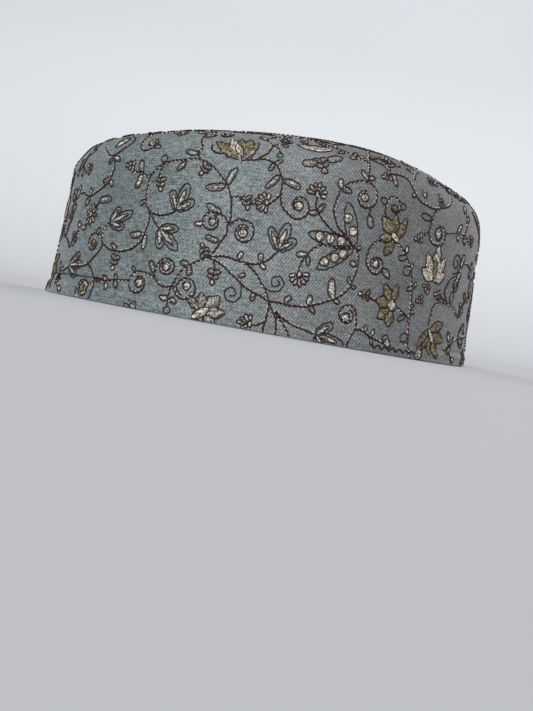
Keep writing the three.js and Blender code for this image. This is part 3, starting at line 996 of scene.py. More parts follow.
vines = [
    # the tall scroll to the left of the middle, and the arm that swings up and over
    ([(-22.3, 23.9), (-19.7, 29.1), (-17.7, 33.5), (-17.9, 37), (-17.3, 39.8), (-18, 45.3), (-20.8, 51),
      (-26.7, 56.6), (-30.8, 58.5), (-36, 59.3), (-45, 57.2), (-49.6, 55.1), (-53.3, 51.4), (-55.4, 50.8),
      (-57.9, 51.7), (-60.5, 51.6), (-63.4, 53)], None),
    ([(-53.3, 51.4), (-53.7, 46.6), (-53.1, 41.6), (-51, 38.4), (-47.1, 36.7), (-43, 36.9), (-39, 39)], None),
    ([(-48, 56), (-49, 54), (-49.4, 51.5), (-48.7, 49.8)], None),
    ([(-50, 37.8), (-47.5, 34.5), (-44.4, 31.6)], None),
    ([(-51.2, 38.6), (-50, 35.3), (-50, 32), (-50.8, 29), (-52.5, 24.9), (-57.5, 21.6), (-62.4, 20.9),
      (-66.5, 21.1), (-69.8, 22.1), (-72, 23.2), (-73.3, 26), (-72.9, 28.8), (-70.5, 31.2)], None),
    # the low run that goes off to the left
    ([(-72, 23.2), (-73.8, 19.5), (-78, 15.3), (-81.8, 13.5), (-88, 12.6), (-94, 12.3), (-98, 11.2),
      (-105.5, 8.3), (-109, 5.9)], None),
    ([(-79.3, 14.1), (-76.3, 12.4), (-73.6, 9.3), (-72.6, 6)], (-78.8, 4, 2.6, -1.1)),
    ([(-73.2, 24.9), (-75, 26.2), (-78, 26.4)], (-78.4, 22.8, 2.4, 0.8)),
    ([(-53.5, 10.3), (-57.5, 10.1), (-63.4, 8.9), (-68, 8.4), (-72.5, 8)], None),
    ([(-42.2, 12.7), (-44.2, 13.7), (-46.7, 14.3), (-49.6, 14.4), (-51.9, 13.3), (-53.2, 11)],
     (-49, 10.1, 2.1, 0.9)),
    ([(-33.8, 11.6), (-35.2, 10.9), (-37.5, 10.5), (-40, 11.4), (-41.9, 13.5), (-42.6, 16), (-41.9, 18.3),
      (-40.3, 20.1), (-38.3, 20.8), (-36, 20)], (-38.3, 17.8, 2.2, -0.75)),
    ([(-22.3, 23.9), (-24.6, 22.6), (-29.2, 20.1), (-31.5, 17.5), (-33.4, 13.8), (-33.7, 11)],
     (-29.2, 11.4, 2.8, 1.2)),
    ([(-17.9, 37), (-19, 39.3), (-21.3, 40.5), (-23.8, 40.5)], (-24.2, 37, 2.3, 1.0)),
    ([(-17.9, 37), (-15.8, 38), (-14.2, 39.3), (-12.1, 39.7)], (-11.3, 35.3, 2.2, -1.15)),
    ([(-18.3, 46.8), (-16.5, 47.6), (-14.6, 47.6), (-13.2, 46.8)], None),
    ([(-10.3, 45.6), (-9.2, 46.1), (-8, 46.2)], None),
    ([(-4, 47), (-2.9, 47.6), (-1.3, 49.7), (0.2, 52)], None),
    # the fork in the middle
    ([(-22.3, 23.9), (-19.6, 24.9), (-16.7, 25.3), (-10.8, 24.7), (-5.4, 24.5), (-2.5, 25.3), (0.3, 27.3),
      (3, 30.8)], None),
    ([(-10, 24.6), (-5, 22.2), (-1.3, 18.3), (0.8, 15.5), (3.1, 11.6)], None),
    ([(-22.3, 23.9), (-18.3, 22.8), (-13.8, 20.1), (-9.6, 17.6), (-5.4, 14.9), (0, 13.3), (3.1, 12)], None),
    ([(-22, 23.6), (-20.4, 22.6), (-19.7, 21), (-19.5, 19.6)], None),
    ([(3.1, 11.4), (3.3, 8.7), (3.1, 6.6), (2.9, 4.5), (2.5, 2), (2.7, -0.5)], None),
    ([(2.9, 4.5), (0.8, 3), (-1, 2.4)], None),
    ([(3.1, 11.4), (5, 8.7), (6.3, 6.6), (7.1, 3.7), (7.5, -0.5)], None),
    ([(5.8, 8.3), (8.3, 5.8), (10.4, 3.7), (12.5, 0.8), (13.2, -0.5)], None),
    ([(6.3, 8.9), (9.6, 6.6), (13.8, 5.1), (17.9, 4.1), (22, 3.2)], None),
    ([(3.1, 12.2), (6.7, 12.2), (10.4, 11.9), (14.2, 12.2), (17.9, 13), (23.8, 15.3), (28.8, 18.3),
      (32.3, 22), (33.8, 26.2), (34.4, 31.2), (33.9, 35), (31.9, 37.6)], None),
    # the three arms that rise from the pods
    ([(31.9, 37.6), (29.2, 40.3), (24.6, 43.7), (21.9, 48.3), (21.6, 51.5), (23.3, 57.3), (25.4, 59.8),
      (27.9, 61.4), (30.8, 62.4), (33.3, 62.5)], (33.4, 56.8, 1.9, -1.0)),
    ([(35.6, 53.1), (35.9, 52), (35.7, 50.8)], None),
    ([(31.9, 37.6), (28.3, 40.3), (22.5, 42), (18.3, 44.9), (15.6, 47.6), (14.5, 50.5), (14.5, 53.6)], None),
    ([(31.9, 37.6), (28, 36.8), (20.8, 36), (17.5, 34.9), (14.4, 31.6), (12.7, 28.6), (12.2, 24.8)], None),
    ([(33.3, 62.6), (34.4, 66.5), (35.4, 71.8), (36.7, 76.4), (38.8, 80), (41, 86)], None),
    # along the shoulder
    ([(-17.5, 61.8), (-13.3, 62.7), (-10.4, 63.5), (-7.9, 63.9), (-4, 62.7), (-1.3, 59.3), (0.1, 56.4),
      (0.5, 53), (0.6, 50.3), (1.2, 48), (2.3, 46.4), (4.2, 45.1)], (8, 48.4, 2.0, 1.0)),
    ([(-11.3, 63.3), (-9.6, 65.2), (-7.9, 66.8), (-7.3, 68.9), (-7.3, 71.8), (-8.5, 74.6)], None),
    ([(-7.3, 71.8), (-5, 71.4), (-3.3, 68.9), (-2.9, 67.6)], None),
    ([(-6.5, 71.8), (-4.5, 73.6), (-2.5, 73.5)], None),
    ([(-33.1, 59.1), (-35.2, 61.9), (-34.5, 65.2), (-35.9, 67.3), (-37, 70), (-38, 76), (-41, 82)], None),
    ([(-65, 69), (-64.4, 64.7), (-63, 61.9), (-60.2, 60.8), (-57.6, 61.9)], (-59, 64.9, 2.2, 0.4)),
    ([(-91.7, 65.6), (-87.5, 61.9), (-84.3, 60.1), (-79.6, 58.2), (-75.5, 59.1), (-72.7, 61.7),
      (-70.8, 64.9), (-72, 67.3), (-75, 69)], None),
    ([(-77.3, 58.3), (-76.3, 56.5), (-74.7, 53.7), (-74.7, 51.6), (-75.9, 49.1), (-76.3, 47.4),
      (-78.4, 46), (-81.8, 44.1), (-85.1, 42.6), (-88.8, 41.6), (-93, 42), (-96.3, 42.8),
      (-100, 42.6)], None),
    ([(-80.7, 38.9), (-81.5, 38), (-82.5, 37.3)], None),
    ([(-88, 29.5), (-92, 28.2), (-94.7, 25.8), (-98, 22.4), (-100, 20)], None),
    ([(-34.8, 10.5), (-34.9, 7.8), (-34.6, 3.7)], None),
    # the right-hand side
    ([(43.8, 50.8), (42.7, 53.3), (42.7, 55.8), (43.8, 58.3), (45.8, 59.4), (47.9, 58.7)],
     (46.8, 56, 1.6, -0.7)),
    ([(50.6, 42.8), (53.8, 40.8), (58.3, 35.8), (60.6, 31.2), (61.8, 25.5), (62.3, 20.3), (62.7, 13.7),
      (63.1, 9), (63.6, 4.9), (65.2, 2), (66, 0)], None),
    ([(45, 19.9), (43.4, 19.8), (41.7, 20.3)], None),
    ([(55.4, 18.7), (59, 16.9), (61.2, 15.4), (62.7, 12.6)], None),
    ([(42.5, 41.9), (40.8, 41.6), (39.2, 39.5), (38.1, 36.6), (38.1, 33.3), (39.4, 30.8), (41.7, 29.3)],
     (42, 32.9, 1.9, 0.85)),
    ([(35.4, 0), (35.4, 2.8), (36.5, 4.9), (37.7, 7.4), (37.7, 9.9), (37.3, 12.4), (36.3, 14.5),
      (34.4, 15.8)], (33.6, 12.2, 1.9, 1.0)),
    ([(37.9, 7.6), (39.6, 8), (42.1, 7.2), (44.6, 6), (49.6, 4.5), (51, 4.6)], None),
    ([(74.8, 14.5), (75.4, 19), (76.4, 22), (79.3, 23.7), (86.4, 24.6), (92.7, 23.3), (96, 22),
      (99.8, 19.6)], None),
    ([(87, 24.6), (84.8, 26.6), (83.3, 28.7), (83.9, 31.2), (86, 33.6), (89, 35.4)], (91.4, 32.8, 2.2, -0.6)),
    ([(86, 24.9), (83.1, 25.8), (80.2, 26.6)], None),
    ([(70.6, 60.2), (69.3, 58.3), (67.7, 55.8), (66.9, 52.8), (66.6, 49.9), (68.1, 47.4), (70.6, 46.2),
      (73.9, 46.2)], (73.7, 50, 3.1, 0.75)),
    ([(78.2, 51.5), (82.7, 52.2), (86, 53), (92.3, 53), (95.6, 53.5), (98, 52.2), (100.5, 51)], None),
    ([(42.5, 68), (45.1, 69.2), (48.8, 69.8), (52.5, 69.4), (54.4, 67.8), (55.8, 65), (57.6, 62.7),
      (59.9, 60.9), (63.6, 60.1), (67.3, 59.7), (71, 60.2), (73.8, 61.3), (77.5, 62.2), (80.3, 63.2),
      (82.6, 65), (84.5, 67.5), (86, 70)], None),
    ([(-31.3, 67.3), (-30.6, 65), (-27.8, 63.5), (-24.8, 64)], None),
    ([(58.5, 70), (61.3, 73.4), (64.5, 77), (66, 83)], None),
    ([(63.9, 48.3), (64.8, 49.1), (66, 49.5)], None),
    # sprigs that fill the shoulder up to the seam
    ([(-38, 76), (-36, 78.5), (-32, 80.5), (-28, 80)], (-29, 77.2, 2.2, -0.8)),
    ([(-75, 69), (-78, 72), (-79, 76), (-76, 79.5), (-71, 80.5), (-66, 79)], (-68.5, 76, 2.2, -0.9)),
    ([(-65, 69), (-64.6, 71.4), (-62, 73.4), (-57, 74.5), (-53.4, 73.6)], None),
    ([(-8.5, 74.6), (-9.5, 77.5), (-8, 80.5), (-4, 82), (0, 81)], (-1.6, 78.6, 2.0, -0.9)),
    ([(35.4, 71.8), (32, 74.4), (28, 77), (23, 79.4), (18.4, 81.6)], None),
    ([(36.7, 76.4), (41, 74.6), (46, 74), (50.4, 76), (51.4, 79.5), (48.6, 82.4)], (47.2, 79, 2.1, 0.8)),
    ([(86, 70), (88, 73), (92, 74.8), (96.4, 73.4)], None),
    ([(86, 70), (84.6, 74), (80, 77.6), (75, 77.4)], (76.2, 74.6, 2.0, 0.8)),
    ([(-100, 70), (-96, 74.6), (-90, 77), (-84.6, 76)], (-86.4, 73.2, 2.0, -0.8)),
    ([(92.3, 53), (95.4, 56.2), (96.8, 60), (96.2, 64)], None),
    ([(98, 12), (96, 8.4), (95.6, 5.2), (97.6, 2.6)], None),
]

thinSpirals = [
    ([(-10.2, 17.8), (-8.5, 16.2), (-7.9, 13.7)], (-11.4, 12.4, 0.8, -1.4)),
    ([(0, 17), (1.7, 16), (4.2, 15.8), (6.3, 16.6)], (4.6, 19.2, 0.8, 1.35)),
    ([(87.5, 37), (91.5, 37.8), (93.6, 40.5), (93, 43.6)], (89.8, 41.6, 0.9, 1.2)),
]

# base, tip, width, what fills it
leaves = [
    (-20.9, 51.5, -18.3, 58.3, 2.4, "silver"), (-21.3, 51, -29, 49.5, 2.6, "silver"),
    (-53, 41.8, -55.9, 39.7, 1.5, "cream"), (-51.6, 28.8, -57.5, 27.6, 2.4, "silver"),
    (-50.1, 28.5, -50.2, 22.6, 2.0, "cream"), (-39.2, 57.9, -42, 54.2, 1.9, "silver"),
    (-58.1, 51.9, -59.7, 56.8, 2.4, "silver"), (-58, 51.2, -59.7, 45.6, 2.4, "cream"),
    (-20.9, 40.7, -27.3, 43.4, 2.4, "silver"), (-26.9, 36.3, -30.7, 35.2, 1.6, "cream"),
    (-11.3, 25.1, -10, 28, 1.8, "cream"), (-2.7, 25.6, -3, 28.9, 1.8, "cream"),
    (-2.7, 25.2, -0.6, 23, 1.6, "cream"), (-9.9, 18.9, -7.4, 20, 1.5, "cream"),
    (-3.3, 14.2, -3.4, 10.8, 1.7, "silver"), (-29.6, 20.2, -33, 20.5, 1.9, "silver"),
    (-29.2, 19.9, -28.9, 15.9, 2.0, "silver"), (-34.9, 6.4, -38.8, 6.4, 1.9, "cream"),
    (-34.7, 6.4, -31.6, 5.1, 1.8, "silver"), (-42.4, 14.8, -45.3, 19.3, 2.0, "silver"),
    (-51.2, 14, -53.2, 16.2, 1.2, "open"), (-60.3, 9.6, -60.6, 12, 1.8, "silver"),
    (-60, 9.4, -59.9, 6.6, 2.2, "silver"), (-64.8, 8.9, -67.8, 10.5, 1.9, "silver"),
    (-65.2, 8.6, -65.2, 5.2, 1.8, "cream"), (-69, 8.6, -72, 8.8, 1.4, "open"),
    (-62.6, 21.3, -66.6, 23.5, 1.5, "silver"), (-76.5, 25.9, -76.3, 29.2, 2.0, "silver"),
    (-76.6, 57, -72, 56, 1.9, "cream"), (-77, 57, -79.3, 54.6, 1.4, "open"),
    (-76.5, 48.8, -80.8, 47.1, 2.0, "gold"), (-75.9, 48.2, -73.6, 45.4, 1.9, "silver"),
    (-88.9, 41.9, -90, 44.6, 2.4, "silver"), (-88.9, 41.3, -92.3, 37.7, 2.8, "silver"),
    (-80.6, 39.4, -72.2, 40.5, 2.7, "silver"), (-35.2, 62, -40.8, 62.5, 2.2, "silver"),
    (-57, 63.4, -53.1, 62.9, 2.0, "open"), (-92, 28.2, -95, 31, 2.4, "silver"),
    (-91, 28, -86.6, 28.5, 2.0, "silver"), (-1.5, 58.4, -6.1, 52.7, 2.1, "silver"),
    (0.3, 56.7, 7.4, 54.8, 2.4, "silver"), (-4.6, 62.4, -5.9, 59.3, 1.8, "silver"),
    (-4, 62.8, -1.3, 64.4, 1.4, "cream"), (9, 12.2, 10.9, 15.4, 1.9, "silver"),
    (18, 13.2, 18.5, 17, 2.0, "cream"), (18.3, 12.8, 20.9, 10.6, 1.7, "silver"),
    (27, 16.8, 25.4, 24.6, 2.8, "cream"), (27.4, 16.6, 29.8, 16, 1.6, "silver"),
    (33.2, 23.8, 31.4, 26.4, 1.4, "open"), (33.4, 23.2, 35.2, 22.4, 1.3, "open"),
    (34.3, 30.9, 31.3, 32, 1.9, "silver"), (33.5, 36.8, 34.7, 38.2, 1.5, "cream"),
    (15.5, 47.4, 12, 46.8, 1.9, "silver"), (15.8, 47.7, 17.8, 50.9, 1.9, "silver"),
    (14.3, 31.5, 10, 31, 2.0, "silver"), (14.3, 31.2, 15.3, 27.5, 1.6, "silver"),
    (23.2, 57.6, 22.6, 61.6, 2.2, "cream"), (23.6, 57.6, 27.4, 57.5, 2.0, "silver"),
    (35.8, 50.4, 37.6, 45.6, 2.3, "silver"), (33.6, 63.8, 31.3, 67.4, 2.0, "silver"),
    (34, 63.6, 37, 65.2, 1.8, "silver"), (56.2, 39.8, 55.8, 42.8, 1.6, "cream"),
    (56.4, 38.4, 52.2, 37.3, 2.0, "open"), (59.4, 34, 60.3, 36.4, 1.2, "cream"),
    (61.8, 27, 58.8, 26.4, 1.8, "silver"), (62, 27.2, 64, 29.6, 1.4, "cream"),
    (62.5, 19.5, 64, 21.2, 1.3, "cream"), (62.6, 17.6, 65, 18.3, 1.3, "cream"),
    (60, 16.3, 56.2, 14.1, 1.8, "open"), (42.1, 7.4, 42.3, 9.8, 1.3, "cream"),
    (45.2, 6, 45.9, 8.9, 1.5, "silver"), (44.9, 5.6, 45.6, 3, 1.4, "open"),
    (67, 55.3, 60.8, 55.8, 2.4, "open"), (87, 53.1, 91.6, 57.5, 1.8, "cream"),
    (87.2, 52.6, 88.2, 50.2, 1.7, "silver"), (93, 52.6, 95.5, 49.8, 1.8, "silver"),
    (45.8, 69.2, 46.8, 63.6, 2.0, "silver"), (57, 63.2, 54.9, 61.6, 1.4, "cream"),
    (45, 31.9, 49.3, 29, 2.3, "silver"), (27, 73, 30.4, 74, 1.8, "silver"),
    (12.9, 66.6, 6.4, 65, 3.0, "silver"), (16.6, 68, 23.4, 71.9, 3.2, "silver"),
    (-37.2, 72, -33, 75, 2.0, "silver"), (-38.4, 77, -43.4, 77.5, 2.0, "cream"),
    (36.2, 74, 32, 77.5, 2.0, "cream"), (37.8, 78, 42.5, 79, 2.0, "silver"),
    (62.5, 74.6, 59, 78, 2.0, "silver"), (64.8, 78, 69.2, 79.6, 1.9, "cream"),
    (-79, 75, -83, 78, 2.2, "silver"), (-76, 79.8, -77.4, 84, 2.0, "silver"),
    (-70.6, 80.8, -66.4, 83.4, 2.0, "cream"), (-60, 74.2, -60.6, 78.6, 2.0, "silver"),
    (-9.6, 77, -14, 79.6, 2.2, "silver"), (-5, 82.2, -6.4, 86, 1.8, "cream"),
    (30.4, 75.6, 31.8, 80, 2.0, "silver"), (25.6, 78.4, 22.4, 75.4, 2.0, "silver"),
    (21, 80.4, 23.4, 84, 2.0, "cream"), (43.4, 74.2, 45.4, 70.8, 1.8, "cream"),
    (50.6, 77, 54.8, 77.6, 2.0, "silver"), (90.6, 75, 88.6, 79, 2.0, "silver"),
    (96, 76, 98.4, 79.8, 2.2, "silver"), (-93.4, 76, -94.6, 80.4, 2.2, "silver"),
    (82, 76.4, 82.6, 80.6, 1.8, "cream"), (-33.4, 80.4, -34, 84.6, 2.0, "silver"),
    (-104.4, 40.4, -101.6, 46, 2.8, "cream"), (-106.6, 33, -104, 38.4, 2.8, "cream"),
    (-109.6, 25, -108, 30, 2.4, "silver"), (96.6, 59.6, 100.4, 62, 2.3, "silver"),
    (95.8, 62.8, 98.4, 66.6, 2.1, "cream"), (93.6, 9.6, 91.4, 13.8, 2.2, "silver"),
    (96, 8, 92.4, 4.4, 2.1, "silver"), (97.6, 2.8, 101.6, 1.8, 2.1, "cream"),
    (-81, 62.4, -75.2, 67.6, 3.6, "cream"), (-19.6, 30.4, -25.4, 31.6, 1.9, "silver"),
]

# base, then the tip and width of each of the three leaves
palmettes = [
    ((-38.8, 39.3), [(-42.4, 46.6, 2.6), (-36, 49.8, 3.2), (-32.2, 43.7, 2.8)]),
    ((-44.2, 31.6), [(-36.4, 32.4, 2.8), (-35.3, 24.6, 3.2), (-42.5, 24, 2.8)]),
    ((3, 31), [(-1.5, 39, 2.6), (5.4, 41.6, 3.2), (9.3, 36, 2.8)]),
    ((22.7, 3), [(28.7, 8, 2.8), (34, 0.8, 3), (27, -2.5, 2.6)]),
    ((-70, 31.3), [(-58.3, 36.3, 3), (-61.6, 30, 3), (-65.5, 37.6, 3)]),
    ((-95, 12.4), [(-87, 18, 3), (-83.8, 13.8, 3), (-86.4, 8.6, 3)]),
]

# centre, radius, fill
eyes = [
    (-23.8, 37.2, 1.5, "cream"), (-11.4, 35, 1.9, "cream"), (-28.8, 12.2, 1.6, "cream"),
    (-38.2, 17.9, 1.7, "cream"), (-48.7, 10.2, 1.9, "cream"), (7.9, 48.5, 1.8, "cream"),
    (33.1, 56.5, 1.6, "cream"), (46.9, 55.1, 1.4, "gold"), (42.3, 33, 1.5, "cream"),
    (33.2, 11.4, 1.7, "cream"), (72.9, 50.2, 2.4, "cream"),
    (-78.4, 22.6, 1.6, "gold"), (-59, 65, 1.8, "cream"), (62.7, 64.4, 1.5, "cream"),
    (91.4, 32.8, 2.0, "gold"), (52.9, 4.3, 1.7, "cream"), (92.3, 71.5, 1.6, "gold"),
    (71, 72, 1.3, "cream"), (-29, 77.2, 1.6, "cream"), (-68.5, 76, 1.6, "cream"),
    (-1.6, 78.6, 1.5, "cream"), (47.2, 79, 1.5, "gold"), (76.2, 74.6, 1.5, "cream"),
    (-86.4, 73.2, 1.5, "gold"), (70.6, 2.6, 2.2, "cream"),
]

# centre, radius
ringBuds = [
    (-49, 58, 1.4), (41.3, 57, 1.3), (50.6, 56.6, 1.3), (57.5, 33.2, 1.9), (61, 7.8, 1.9),
    (-22.9, 63.3, 1.2), (51.7, 6.2, 1.4), (-2.9, 66.8, 1.2), (-1.3, 73.3, 1.2), (-34.6, 2, 1.3),
]

# centre, the way its tip points, size, fill
coneBuds = [
    (-47.9, 48.2, -80, 4.6, "silver"), (-31, 55.8, -120, 4.4, "silver"), (-12, 46.2, -70, 4.4, "silver"),
    (-19.4, 17.2, -90, 5, "silver"), (-24.8, 26.2, 120, 4.4, "silver"), (-65, 54.2, 180, 4.4, "silver"),
    (-63, 16.4, -95, 5, "silver"), (39.3, 21, 180, 4.2, "gold"), (61.2, 46.6, 200, 4, "silver"),
    (74.2, 64.2, 100, 4.6, "silver"), (78.2, 27, 180, 4.2, "gold"), (70, 28.6, 160, 4, "silver"),
    (67, 23.4, 200, 3.8, "gold"), (-96.7, 24, 130, 5, "silver"), (14.7, 65.8, -68, 6.2, "silver"),
    (42.3, 67, 200, 4, "silver"), (-96, 53, 150, 4.6, "gold"), (15.4, 83, 150, 4.4, "silver"),
    (7.4, 81.6, 60, 4.2, "silver"),
]

# the knot on the stem, and each petal's heading and length
fanDaisies = [
    ((-4.4, 47.4), [(85, 3.8), (120, 4.2), (148, 4.6), (172, 4.8), (192, 4.8), (216, 4.6), (240, 4.2),
                    (272, 3.8)]),
    ((14.2, 53.9), [(170, 4.6), (140, 4.6), (113, 4.6), (84, 4.8), (52, 4.4), (24, 4.0), (-8, 3.8)]),
    ((12.5, 23.7), [(200, 3.8), (229, 4.2), (254, 4.6), (282, 5.0), (312, 4.8), (340, 4.6), (6, 4.4)]),
    ((-2.4, 2.4), [(178, 5.2), (157, 4.6), (128, 4.4), (98, 3.8), (215, 4.0), (262, 3.0)]),
    ((-52, 73.6), [(150, 3.6), (118, 4.2), (86, 4.6), (54, 4.6), (24, 4.6), (-4, 4.4), (-34, 4.2)]),
    ((66, 83.4), [(180, 4.2), (150, 4.4), (118, 4.6), (86, 4.6), (54, 4.4), (24, 4.2)]),
]
fullDaisies = [(-84.7, 33.8, 4.6, 9)]   # centre, radius, petals

# tip, width and seeds of the three pods that share one base
podBase = (31.9, 37.6)
pods = [
    ((13.3, 39.3), 4.8, [(17.9, 38.9), (22.1, 38.7), (26.5, 38.7)]),
    ((18.8, 27), 5, [(21.3, 30.1), (25, 32.2), (28.1, 34.3)]),
    ((26.7, 53.3), 5, [(27.7, 47.6), (30.6, 43.3)]),
]

# each petal's base, tip, width and fill, then the heart that lies over them
flowers = [
    ([(48.3, 45.5, 41.8, 51, 5.4, "gold"), (48.6, 46, 47.8, 53, 3.8, "gold"),
      (50.2, 44, 53.6, 52.6, 3.6, "gold"), (47.5, 44.2, 42, 43, 3.6, "gold"),
      (48.6, 43, 45.2, 37, 4, "gold")], (47, 46, 50.8, 42.9, 2.1, "cream")),
    ([(51.5, 20.5, 47.6, 26.6, 4.2, "gold"), (52.8, 21, 54, 27.4, 3.2, "gold"),
      (51, 19.2, 44.8, 19.8, 5.2, "gold"), (51.2, 17.4, 46.6, 13.2, 4.6, "gold"),
      (52.4, 17.2, 51.9, 10.8, 4.6, "gold")], None),
    ([(75.6, 13, 69.2, 5.2, 3.2, "gold"), (76, 10, 72.4, 4.6, 2.6, "gold"), (77, 9, 77, 3.2, 3, "gold"),
      (78.2, 8.6, 84, 2, 3.8, "gold"), (76.4, 12.6, 86, 16.2, 4.6, "gold"), (77.4, 11, 87.6, 9.4, 5, "gold")],
     (75.2, 12.8, 79.2, 7.8, 1.9, "cream")),
    ([(-22.6, 4.4, -27.6, 8.6, 3, "silver"), (-21.6, 4.6, -22.6, 10.8, 4.4, "silver"),
      (-20.2, 4.4, -15.6, 10.4, 5.8, "silver"), (-19.8, 3.4, -12.4, 4.8, 4.4, "silver"),
      (-20, 2.4, -15, -1, 4, "silver"), (-21.5, 2.5, -22.4, -2.7, 5, "gold")],
     (-24.4, 1.0, -18.6, 5.4, 2.8, "cream")),
    ([(-50, -2, -48.5, 3.2, 3, "silver"), (-50, -2, -53.6, 1.4, 3, "gold")], None),
    ([(-18.4, 62.2, -30.4, 69.6, 5.0, "gold"), (-18.2, 62.4, -25.0, 73, 5.0, "cream"),
      (-17.2, 61.8, -13.2, 68, 3.0, "silver"), (-17.6, 62.4, -16.6, 75, 5.4, "gold"),
      (-17.4, 62, -12.8, 72.4, 4.4, "gold"), (-18, 62.6, -21, 74.4, 4.4, "gold")],
     (-17.6, 63.6, -21.4, 68.8, 2.4, "cream")),
    ([(98.4, 71.4, 94.2, 69.2, 2.8, "gold"), (98.6, 71.8, 96.4, 76.8, 3.2, "gold"),
      (99.2, 71.8, 101.8, 76.2, 3.2, "gold"), (99.4, 71, 103.8, 69.6, 2.8, "gold")],
     (97.8, 70.4, 100.2, 72.6, 1.8, "cream")),
    ([(73.6, 32.4, 65.6, 35.6, 5.2, "cream"), (73.6, 32.4, 81.6, 35.6, 5.2, "cream"),
      (73.4, 33, 67.6, 42, 5.6, "cream"), (74, 33, 80.4, 41.8, 5.6, "cream"),
      (73.8, 33.4, 74.6, 46.6, 6.0, "cream")], (73.6, 32.8, 73.2, 40.4, 2.2, "gold")),
]

# the seed in the middle of the low flower on the right, and at the lower left a cream disc with a
# gold one on it: centre, then radius
flowerSeed = ((52.3, 19), 2.1)
creamDisc, goldDisc = ((-78.8, 4.4), 2.9), ((-78.8, 4.4), 1.5)
raised = 0.3                        # how far a thing lies above the cloth when it lies on another

# the boat-shaped flower on the shoulder: base, tip, width, bow
boatFlower = ((3.6, 76.4), (19.8, 77.8), 5.4, -0.09)

# the scalloped line of stitches that runs above the hem on the right
scallops = {"from": 44.5, "to": 68.4, "step": 0.5, "rise": 1.7, "wave": 1.5, "pitch": 3.6, "radius": 0.34}

leafBow = 0.04
ringBudThread = 0.26


# A vine's points, with its curl's after them where it has one
def withCurl(points, curl):
    return points + curlIn(points[-1], curl[:2], curl[2], curl[3]) if curl else points


for points, curl in vines:
    twistedVine(withCurl(points, curl))
for points, curl in thinSpirals:
    outline(withCurl(points, curl))
for x0, y0, x1, y1, width, fill in leaves:
    bud((x0, y0), (x1, y1), width, fill, leafBow)
for base, tips in palmettes:
    for x, y, width in tips:
        spindleLeaf(base, (x, y), width)
for x, y, radius, fill in eyes:
    eye((x, y), radius, fill)
for x, y, radius in ringBuds:
    ring = ringAt((x, y), radius, np.linspace(0, 2 * math.pi, 16))
    outline(ring, ringBudThread, smooth=False)
for x, y, heading, size, fill in coneBuds:
    coneBud((x, y), heading, size, fill)
for base, petals in fanDaisies:
    fanDaisy(base, petals)
for x, y, radius, petals in fullDaisies:
    fullDaisy((x, y), radius, petals)
for tip, width, seeds in pods:
    pod(podBase, tip, width, seeds)
for petals, heart in flowers:
    flower(petals, heart)
seed(*flowerSeed, "cream", under=raised)
disc(*creamDisc, "cream")
disc(*goldDisc, "gold", under=raised)
base, tip, width, bow = boatFlower
satin("cream", *leafEdges(base, tip, width - 0.4, bow, full=0.6))
leafOutline(base, tip, width, bow, full=0.6)
scallopRun = np.arange(scallops["from"], scallops["to"], scallops["step"])
scallopRise = scallops["rise"] + scallops["wave"] * np.abs(np.sin(scallopRun * math.pi / scallops["pitch"]))
outline(np.stack([scallopRun, scallopRise], 1), scallops["radius"])
print("one repeat charted")


# Lays the charted threads on the band, copy beside copy, and on the crown in staggered rows

# how near to an edge or a seam the threads come
threadEnds = {
    "aboveRim": 0.35,
    "belowSeam": 1.0,
    "besideBackJoin": 0.5,
    "insideCrownSeam": 1.6,
}

# each kind of thread: the piece's name, its yarn and its slot
threadPieces = {
    "darkPly": ("cord_dark_ply", "maroon rayon", "dark_thread"),
    "palePly": ("cord_pale_ply", "beige rayon", "cream_thread"),
    "outline": ("outline_stitches", "maroon rayon", "dark_thread"),
    "cream": ("cream_satin_stitches", "cream rayon", "cream_thread"),
    "silver": ("silver_satin_stitches", "silver metallised polyester", "cream_thread"),
    "gold": ("gold_satin_stitches", "old gold metallised polyester", "gold_thread"),
}


# Keeps the faces whose corners are all inside, and the points that they use
def trimmed(points, faces, inside):
    faces = faces[inside[faces].all(1)]
    used = np.zeros(len(points), bool)
    used[faces.ravel()] = True
    number = np.cumsum(used) - 1
    return points[used], number[faces]


# One repeat of a kind of thread, from the motifs whose middle lies between two heights
def gathered(kind, low, high):
    allPoints, allFaces, count = [], [], 0
    for points, faces in threads[kind]:
        if not low < points[:, 1].mean() < high:
            continue
        allPoints.append(points)
        allFaces.append(faces + count)
        count += len(points)
    return np.vstack(allPoints), np.vstack(allFaces)


# Copies of one repeat, each moved by a number of repeats across and a number of mm up
def repeated(unit, unitFaces, moves):
    points = np.vstack([unit + [across * chartRepeat["width"], up, 0] for across, up in moves])
    faces = np.vstack([unitFaces + k * len(unit) for k in range(len(moves))])
    return points, faces


def bandThreads(kind):
    moves = [(copy - 1, 0) for copy in range(chartRepeat["copies"])]
    points, faces = repeated(*gathered(kind, *bandChart["keep"]), moves)
    around, rise = points[:, 0], points[:, 1]
    toBack = np.abs((around - backStart + circumference / 2) % circumference - circumference / 2)
    inside = (rise > threadEnds["aboveRim"]) & (toBack > threadEnds["besideBackJoin"])
    inside &= rise < seamRiseAt(around) - threadEnds["belowSeam"]
    points, faces = trimmed(points, faces, inside)
    return bandSkin(points[:, 0], points[:, 1], points[:, 2]), faces


def crownThreads(kind):
    points, faces = repeated(*gathered(kind, *crownChart["keep"]), crownChart["rows"])
    x, y = points[:, 0], points[:, 1]
    edge = sectionAt(np.arctan2(y, x))["seamRadius"] - threadEnds["insideCrownSeam"]
    points, faces = trimmed(points, faces, np.hypot(x, y) < edge)
    return crownSkin(points[:, 0], points[:, 1], points[:, 2]), faces


for kind, (name, yarn, slot) in threadPieces.items():
    for place, laid in (("band", bandThreads), ("crown", crownThreads)):
        points, faces = laid(kind)
        piece = makeMesh(place + "_" + name, points, faces, yarns[yarn])
        print(piece.name, 2 * len(faces), "triangles")
print("embroidery laid")


# Floor and backdrop in one sweep, the same all round, through which the lights shine

